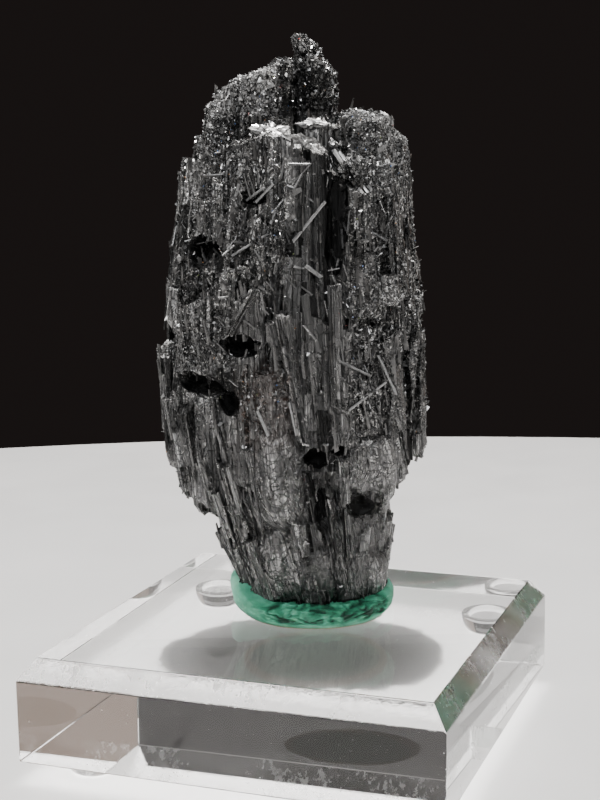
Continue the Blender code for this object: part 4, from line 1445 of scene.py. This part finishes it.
def stone_colour(made, on):
    """Painted sheen in silvery lines or painted glitter of grains, painted highlights on edges and
    painted shade in grooves, hollows and pits; black in cracks, brown where rusty.
    """
    # Painted sheen along the striations, near black between them
    painted_sheen_lines = made.ramp(
        on.lines, (0.40, (0.003, 0.003, 0.0033)), (0.5, (0.014, 0.014, 0.014)),
        (0.6, (0.075, 0.073, 0.071)), (0.74, (0.24, 0.236, 0.23)),
    )
    # Painted glitter: light grey grains and specks among the dark ones of the sugary parts
    shade = made.channel(on.grains["Color"], 0)
    painted_sparkle = made.channel(on.specks["Color"], 1)
    shade = made.math("MULTIPLY", made.spread(shade, 0.0, 1.0, 0.3, 1.0), painted_sparkle)
    sugar = made.ramp(
        shade, (0.22, (0.004, 0.004, 0.004)), (0.45, (0.022, 0.0215, 0.021)),
        (0.68, (0.13, 0.126, 0.12)), (0.88, (0.46, 0.45, 0.43)),
    )
    black = made.mixed(on.sugary, painted_sheen_lines, sugar)
    # Painted highlights on edges and painted shade in grooves, the blades' random lightness, then
    # the painted shading of the boxes and pits
    worn = made.attribute("worn")
    blade = made.attribute("blade")
    blade = made.math("MULTIPLY", blade, made.spread(on.striped, 0.0, 1.0, 1.2, 2.6))
    bright = made.math("MULTIPLY_ADD", worn, 2.2, blade)
    bright = made.math("POWER", 2.0, made.math("MULTIPLY_ADD", on.tone, 2.5, bright))
    lit = made.vector("MINIMUM", made.scaled(black, bright), (0.55, 0.55, 0.55))
    edge = made.mixed(made.math("MULTIPLY", on.cracks, on.seams), (0.002, 0.002, 0.002, 1), lit)
    return made.mixed(made.math("MULTIPLY", on.rust, 0.5), edge, (0.040, 0.026, 0.021, 1))


def stone_gloss(made, on):
    """The roughness: another in each slat, and more where the stone is in painted shade."""
    gloss = made.spread(made.channel(on.slats["Color"], 2), 0.0, 1.0, 0.16, 0.42)
    return made.math("ADD", gloss, made.spread(on.tone, -1, 0, 0.4, 0))


def stone_finish(name, sheen):
    """Black tourmaline: striated and slatted along the columns, broken into facets where sugary."""
    made = Nodes(name)
    patterns = stone_patterns(made)
    normal = stone_normal(made, patterns)
    return made.surface(
        Base_Color=stone_colour(made, patterns),
        Roughness=stone_gloss(made, patterns),
        IOR=TOURMALINE_IOR,
        Specular_IOR_Level=sheen,
        Normal=normal,
    )


def needle_finish():
    """Blades and needles, dark with silvery stretches."""
    made = Nodes("tourmaline_needle")
    space = made.place()
    return made.surface(
        Base_Color=made.ramp(
            made.noise(space, 500.0), (0.35, (0.006, 0.006, 0.0065)), (0.6, (0.05, 0.048, 0.046)),
            (0.75, (0.16, 0.155, 0.15)),
        ),
        Roughness=made.spread(made.noise(space, 500.0), 0.3, 0.7, 0.16, 0.4),
        IOR=TOURMALINE_IOR,
        Specular_IOR_Level=0.8,
        Normal=made.bump(made.noise(space, 4000.0), 0.00003, 0.5),
    )


def crust_finish():
    """Grains, rods and plates, each in the tint that its mesh holds."""
    made = Nodes("tourmaline_crust")
    tint = made.attribute("tint", "Color")
    space = made.place()
    return made.surface(
        Base_Color=tint,
        Roughness=made.spread(made.noise(space, 900.0), 0.3, 0.7, 0.12, 0.45),
        IOR=TOURMALINE_IOR,
        Specular_IOR_Level=1.0,
        Normal=made.bump(made.noise(space, 5000.0), 0.00003, 0.4),
    )


def putty_finish():
    """Green putty with painted shade in its folds and painted highlights on its lumps, and painted
    shade on its pressed underside, which ends in a brown rim.
    """
    made = Nodes("putty_green")
    space = made.place()
    fold = made.attribute("fold")
    cloud = made.noise(space, 260.0, 5.0, 0.6)
    shade = made.math("ADD", made.spread(cloud, 0, 1, -0.35, 0.35), fold)
    green = made.ramp(
        shade, (0.12, (0.004, 0.04, 0.022)), (0.42, (0.03, 0.23, 0.13)),
        (0.68, (0.11, 0.43, 0.28)), (0.95, (0.27, 0.66, 0.48)),
    )
    film = made.attribute("film")
    # Painted shade of the pressed underside, a dark green, and round it a brown rim
    pressed = made.ramp(
        made.noise(space, 150.0), (0.35, (0.03, 0.10, 0.065)), (0.65, (0.075, 0.24, 0.155))
    )
    rim = made.mixed(made.spread(film, 0.45, 0.75, 1.0, 0.0), pressed, (0.26, 0.19, 0.10, 1))
    return made.surface(
        Base_Color=made.mixed(made.spread(film, 0.1, 0.35, 0.0, 1.0), green, rim),
        Roughness=made.spread(cloud, 0.3, 0.7, 0.38, 0.62),
        Subsurface_Weight=0.1,
        Subsurface_Scale=0.001,
        Normal=made.bump(made.noise(space, 1100.0, 6.0, 0.65), 0.0003, 0.7),
    )


def clear_finish(name, ior, rough):
    """Clear plastic with a little haze, specks of dust and hairline scratches."""
    made = Nodes(name)
    space = made.place()
    haze = made.spread(made.noise(space, 60.0, 8.0, 0.75), 0.55, 0.85, 0.0, rough)
    specks = made.cells(space, 420.0)
    reach = made.spread(made.channel(specks["Color"], 0), 0.55, 1.0, 0.0, 0.055)
    dust = made.math("LESS_THAN", specks["Distance"], reach)
    marks = haze
    for turn, wide in (((0.4, 0.2, 0.5), 1600.0), ((0.1, 0.6, 1.9), 1900.0)):
        lines = made.add("TexVoronoi", {"feature": "F1"}, Scale=1.0)
        made.put(lines, "Vector", made.place(scale=(wide, 60.0, 900.0), turn=turn))
        thin = made.spread(lines.outputs["Distance"], 0.02, 0.06, 0.35, 0.0)
        marks = made.math("MAXIMUM", marks, thin)
    marks = made.math("MULTIPLY_ADD", dust, 0.6, marks)
    return made.clear(ior, marks, made.bump(made.noise(space, 30.0, 3.0), 0.00002, 0.3))


def bevel_finish():
    """The sawn edge, polished by hand: the saw's fine lines still cross it."""
    made = Nodes("acrylic_sawn_edge")
    sawn = made.noise(made.place(scale=(1, 1, 0.08), turn=(0.3, 0.2, 0)), 900.0, 4.0, 0.7)
    worn = made.noise(made.place(), 90.0, 5.0, 0.65)
    marks = made.spread(made.math("MULTIPLY", sawn, worn), 0.18, 0.4, 0.03, 0.4)
    return made.clear(ACRYLIC_IOR, marks, made.bump(sawn, 0.00012, 0.6))


# ---------------------------------------------------------------- putty, block and feet

PAD_SIDES = 16
PAD_RADIUS = 15.2
PAD_HEIGHT = (3.8, 4.4, 5.0, 5.2, 5.6, 6.0, 6.6, 7.4, 7.6, 5.4, 3.2, 2.9, 2.8, 2.6, 3.2, 4.4)
PAD_SPREAD = (
    0.94, 0.95, 0.98, 0.98, 0.97, 1.0, 1.02, 1.01, 0.99, 1.0, 1.02, 1.04, 1.04, 1.05, 1.03, 0.98
)
PAD_PROFILE = (
    (0, 0.4), (0, 0.92), (0.14, 1.04), (0.6, 1.09), (0.98, 1.04), (1.04, 0.86), (0.9, 0.5)
)
PAD_ROUNDING = 4  # the number of times that the pad's faces are divided
PAD_TORN = (-1.85, -0.15)  # the arc that is torn, in radians from the x axis
# Painted shade on the pad's pressed underside, which turns brown beyond it
PAD_UNDERSIDE_SHADE = (11.2, 12.9)  # where the film on its underside ends, in millimetres from its middle
PAD_FLAT, PAD_SINK = 0.35, 0.03  # what lies lower is pressed flat, this deep into the block


def subdivided(mesh, levels):
    """The mesh with all its forms made round."""
    holder = add_object("holder", mesh)
    holder.modifiers.new("soft", "SUBSURF").levels = levels
    return applied(holder)


def pad_net():
    """The plain pad, before it is kneaded."""
    shape = bmesh.new()
    rings = []
    for height_share, radius_share in PAD_PROFILE:
        ring = []
        for i in range(PAD_SIDES):
            radius = PAD_RADIUS * radius_share * PAD_SPREAD[i]
            turn = math.tau * i / PAD_SIDES
            height = PAD_HEIGHT[i] * height_share
            ring.append(
                shape.verts.new(lie_at(radius * math.cos(turn), radius * math.sin(turn), height))
            )
        rings.append(ring)
    join_rings(shape, rings)
    return subdivided(mesh_from(shape, "putty_pad"), PAD_ROUNDING)


def putty_mesh():
    """The pad of putty, kneaded and torn, with its foot flat on the block."""
    mesh = pad_net()
    middle = lie_at(0, 0, 0)
    folds = mesh.attributes.new("fold", "FLOAT", "POINT").data
    underside_shades = mesh.attributes.new("film", "FLOAT", "POINT").data
    for number, vert in enumerate(mesh.vertices):
        aside = Vector((vert.co.x - middle.x, vert.co.y - middle.y, 0))
        height = vert.co.z / MM - BLOCK_TOP
        out = aside.normalized()
        turn = math.atan2(aside.y, aside.x)
        arc = turn * PAD_RADIUS
        rise = min(1.0, max(0.0, height / 0.9))
        torn = smooth_step(PAD_TORN[0] - 0.15, PAD_TORN[0] + 0.1, turn)
        torn *= 1 - smooth_step(PAD_TORN[1] - 0.1, PAD_TORN[1] + 0.15, turn)
        torn *= smooth_step(0.7, 1.3, height)
        sway = noise.fractal(Vector((arc * 0.16, height * 0.3, 1.0)), 1.0, 2.0, 3)
        layers = noise.ridged_multi_fractal(
            Vector((arc * 0.12 + sway, height * 0.95 + sway * 1.4, 4.0)), 0.9, 2.2, 4, 1.0, 2.0
        )
        layers = min(1.0, layers * 0.5) ** 2
        lumps = noise.fractal(vert.co * 420, 0.8, 2.1, 5)
        soft = noise.fractal(vert.co * 190, 1.0, 2.0, 4)
        push = soft * 0.4 + torn * (lumps * 0.3 - layers * 1.5) - (1 - torn) * layers * 0.2
        # Painted shade in the creases of the torn layers, painted highlights on the lumps
        folds[number].value = 0.66 + (1 - torn) * soft * 0.3 + torn * (lumps * 0.35 - layers * 0.9)
        vert.co += out * push * MM * rise
        vert.co.z += (soft * 0.3 + torn * lumps * 0.35) * MM * rise
        if height < PAD_FLAT:
            vert.co.z = (BLOCK_TOP - PAD_SINK) * MM
            reach = aside.length / MM + noise.noise(vert.co * 300) * 0.6
            # Painted shade on the pressed underside, fading to the brown rim
            underside_shades[number].value = 1 - 0.6 * smooth_step(*PAD_UNDERSIDE_SHADE, reach)
    for polygon in mesh.polygons:
        polygon.use_smooth = True
    return mesh


BEVEL_WIDTH, BEVEL_HEIGHT = 3.8, 3.6
EDGE_ROUNDING = 0.22


def block_mesh():
    """The clear block: flat bevels round its top, and all its edges eased."""
    shape = bmesh.new()
    bmesh.ops.create_cube(shape, size=1)
    size = (BLOCK_HIGH - BLOCK_LOW) * MM
    for vert in shape.verts:
        vert.co = Vector((vert.co.x * size.x, vert.co.y * size.y, vert.co.z * size.z))
        vert.co += (BLOCK_LOW + BLOCK_HIGH) / 2 * MM
    top = max(shape.faces, key=lambda face: face.calc_center_median().z)
    bmesh.ops.inset_region(shape, faces=[top], thickness=BEVEL_WIDTH * MM)
    rim = {vert for edge in top.edges for face in edge.link_faces for vert in face.verts}
    for vert in rim - set(top.verts):
        vert.co.z -= BEVEL_HEIGHT * MM
    for face in shape.faces:
        face.normal_update()
        face.material_index = int(0.3 < face.normal.z < 0.95)
    bmesh.ops.bevel(
        shape, geom=shape.edges, offset=EDGE_ROUNDING * MM, segments=2, profile=0.5, affect="EDGES",
        material=-1,
    )
    return mesh_from(shape, "acrylic_block")


# A foot from the middle of its top to the middle of its underside: share of radius, of height
FOOT_PROFILE = (
    (0.0, 1.0), (0.9, 1.0), (0.965, 0.985), (0.993, 0.94), (1.0, 0.86), (0.99, 0.74), (0.972, 0.6),
    (0.945, 0.46), (0.905, 0.32), (0.85, 0.18), (0.79, 0.09), (0.72, 0.03), (0.64, 0.0), (0.0, 0.0),
)
FOOT_SIDES = 64


def foot_mesh(name, low, high):
    """A turned clear bumper: flat on top, where it sticks to the block, and rounded to its foot."""
    shape = bmesh.new()
    radius = (high.x - low.x) / 2
    tall = high.z - low.z
    middle = Vector(((low.x + high.x) / 2, (low.y + high.y) / 2, low.z))
    rings = []
    for share, height in FOOT_PROFILE:
        turns = [math.tau * i / FOOT_SIDES for i in range(FOOT_SIDES if share else 1)]
        rings.append([
            shape.verts.new(middle + Vector((
                share * radius * math.cos(turn), share * radius * math.sin(turn), height * tall
            )))
            for turn in turns
        ])
    for upper, lower in zip(rings, rings[1:]):
        for i in range(FOOT_SIDES):
            j = (i + 1) % FOOT_SIDES
            walk = (upper, i), (lower, i), (lower, j), (upper, j)
            loop = [ring[k % len(ring)] for ring, k in walk]
            shape.faces.new(list(dict.fromkeys(loop)))
    mesh = mesh_from(shape, name)
    for polygon in mesh.polygons:
        polygon.use_smooth = abs(polygon.normal.z) < 0.999
    return mesh


# ---------------------------------------------------------------- building

bundle, heart = stone_meshes()
mark_regions(bundle)
mark_regions(heart)
skin = Skin(bundle, heart)
stone = stone_finish("tourmaline_black", sheen=0.7)
# The same material with less sheen: painted shade for the faces that mark_regions gives it
hollow = stone_finish("tourmaline_painted_shade", sheen=0.14)
needle = needle_finish()
crust = crust_finish()
stones = [
    add_piece("tourmaline_crystals", bundle, stone, "tourmaline", "tourmaline"),
    add_piece("tourmaline_heart", heart, stone, "tourmaline", "tourmaline"),
    add_piece("tourmaline_blades", blades_mesh(skin), needle, "tourmaline"),
    add_piece("tourmaline_rods", rods_mesh(skin), crust, "tourmaline"),
    add_piece("tourmaline_plates", plates_mesh(), crust, "tourmaline"),
]
for piece in stones[:2]:
    piece.data.materials.append(hollow)
# Name, seed, number, regions, length, thickness and how flat they lie, as needles_mesh takes them
NEEDLES = (
    ("tourmaline_felt_coarse", 31, 6000, FELT, (0.24, 0.17), (0.08, 0.17), 1.0),
    ("tourmaline_felt_fine", 32, 18000, FELT, (0.12, 0.15), (0.045, 0.09), 0.93),
)
for name, *measures in NEEDLES:
    stones.append(add_piece(name, needles_mesh(skin, name, *measures), needle, "tourmaline"))
# Name, seed, number, shares and size of the grains, as crust_mesh takes them
CRUSTS = (
    ("tourmaline_sugar", 41, 18000, (0.03, 1.0, 0.3, 0.25, 0.1), (0.13, 0.07)),
    ("tourmaline_crust", 42, 20000, (0.12, 0.3, 1.0, 0.7, 0.5), (0.08, 0.06)),
)
for name, *measures in CRUSTS:
    stones.append(add_piece(name, crust_mesh(skin, name, *measures), crust, "tourmaline"))
stones.append(add_piece("putty_pad", putty_mesh(), putty_finish(), "putty", "mounting_putty"))
acrylic = clear_finish("acrylic_clear", ACRYLIC_IOR, rough=0.03)
block = add_piece("acrylic_block", block_mesh(), acrylic, "acrylic", "acrylic_base")
block.data.materials.append(bevel_finish())
bumper = clear_finish("bumper_clear", BUMPER_IOR, rough=0.08)
bumpers = []
for side in ("front_left", "front_right", "back_left", "back_right"):
    name = "clear_foot_" + side
    foot = foot_mesh(name, *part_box("foot_" + side))
    bumpers.append(add_piece(name, foot, bumper, "bumper", "foot_" + side))

# ---------------------------------------------------------------- stage, lights and camera

def table_finish():
    """A white table top, a little mottled."""
    made = Nodes("table_white")
    space = made.place()
    return made.surface(
        Base_Color=made.ramp(
            made.noise(space, 9.0, 6.0), (0.3, (0.52, 0.523, 0.526)), (0.7, (0.56, 0.56, 0.56))
        ),
        Roughness=made.spread(made.noise(space, 40.0), 0.3, 0.7, 0.42, 0.58),
        Normal=made.bump(made.noise(space, 700.0), 0.00005, 0.15),
    )


# Where the camera stands, in metres, and which ways are right and up in its picture
CAMERA_PLACE = Vector((0.09735, -0.25913, 0.11022))
CAMERA_ACROSS = Vector((0.937814, 0.346721, -0.017008))
CAMERA_UP = Vector((-0.042950, 0.164512, 0.985440))

TABLE_RADIUS = 0.6
TABLE_SHIFT = 0.317  # how far its middle lies towards the camera


def add_stage():
    """The round white table that the part stands on."""
    shape = bmesh.new()
    bmesh.ops.create_circle(shape, cap_ends=True, cap_tris=True, segments=128, radius=TABLE_RADIUS)
    towards = Vector((CAMERA_PLACE.x, CAMERA_PLACE.y, 0)).normalized() * TABLE_SHIFT
    bmesh.ops.translate(shape, verts=shape.verts, vec=towards)
    table = add_object("table_top", mesh_from(shape, "table_top"))
    table.data.materials.append(table_finish())


LIT_MIDDLE = Vector((0, 0, 0.06))


def add_light(name, place, size, power, colour, high=None):
    """One lamp, square or of this height, turned to the part."""
    light = bpy.data.lights.new(name, "AREA")
    light.shape = "RECTANGLE"
    light.size = size
    light.size_y = high or size
    light.energy = power
    light.color = colour
    holder = add_object(name, light)
    holder.location = place
    turn = LIT_MIDDLE - Vector(place)
    holder.rotation_euler = turn.to_track_quat("-Z", "Y").to_euler()
    return holder


def linked(name, pieces, state):
    """A list of pieces that a lamp treats apart, lighting them alone or passing through them."""
    group = bpy.data.collections.new(name)
    for piece in pieces:
        group.objects.link(piece)
    for held in group.collection_objects:
        held.light_linking.link_state = state
    return group


add_stage()
clear_pieces = linked("clear_pieces", [block, *bumpers], "EXCLUDE")
solid_pieces = linked("solid_pieces", stones, "INCLUDE")
glass_pieces = linked("glass_pieces", [block, *bumpers], "INCLUDE")
overhead = add_light("overhead", (-0.02, 0.03, 0.90), 0.01, 25.0, (1.0, 0.97, 0.94))
# The clear pieces let this lamp through, so its shadows are those of the stone and its putty.
overhead.light_linking.blocker_collection = clear_pieces
back_lamp = add_light("back_lamp", (-0.15, 0.24, 0.85), 0.05, 0.3, (1.0, 0.96, 0.9))
for lamp in (overhead, back_lamp):
    lamp.visible_transmission = False
# Name, place, size, power and colour of the lamps that light the stone and its putty only
WINDOWS = (
    ("front_window", (0.25, -1.05, 0.90), 0.4, 11.0, (0.98, 0.99, 1.0)),
    ("left_window", (-0.85, -0.45, 0.5), 0.3, 5.5, (1.0, 0.98, 0.96)),
    ("right_window", (0.95, 0.1, 0.55), 0.3, 4.5, (1.0, 0.98, 0.95)),
    ("back_window", (-0.35, 0.95, 0.75), 0.4, 6.0, (0.96, 0.98, 1.0)),
)
for window in WINDOWS:
    add_light(*window).light_linking.receiver_collection = solid_pieces
# A low white panel behind, just above the picture, mirrored in the block's top.
panel = add_light("back_panel", (-0.5, 1.35, 0.40), 1.6, 0.28, (1.0, 0.98, 0.95), 0.20)
panel.visible_camera = False
panel.light_linking.receiver_collection = glass_pieces
add_light("ceiling", (0.0, 0.0, 1.9), 4.0, 2.5, (1.0, 0.93, 0.88))
add_light("warm_wall", (0.55, 1.05, 0.2), 0.7, 0.5, (1.0, 0.76, 0.62))
# The thick block turns light round inside itself many times.
bounces = bpy.context.scene.cycles
bounces.max_bounces = 24
bounces.glossy_bounces = 12
bounces.transmission_bounces = 24

world = bpy.data.worlds.new("dark room")
world.use_nodes = True
world.node_tree.nodes["Background"].inputs["Color"].default_value = (0.012, 0.0095, 0.009, 1)
bpy.context.scene.world = world

lens = bpy.data.cameras.new("camera")
lens.sensor_width = 36
lens.lens = 69.869
camera = add_object("camera", lens)
away = CAMERA_ACROSS.cross(CAMERA_UP)
camera.matrix_world = Matrix((CAMERA_ACROSS, CAMERA_UP, away)).transposed().to_4x4()
camera.matrix_world.translation = CAMERA_PLACE
bpy.context.scene.camera = camera
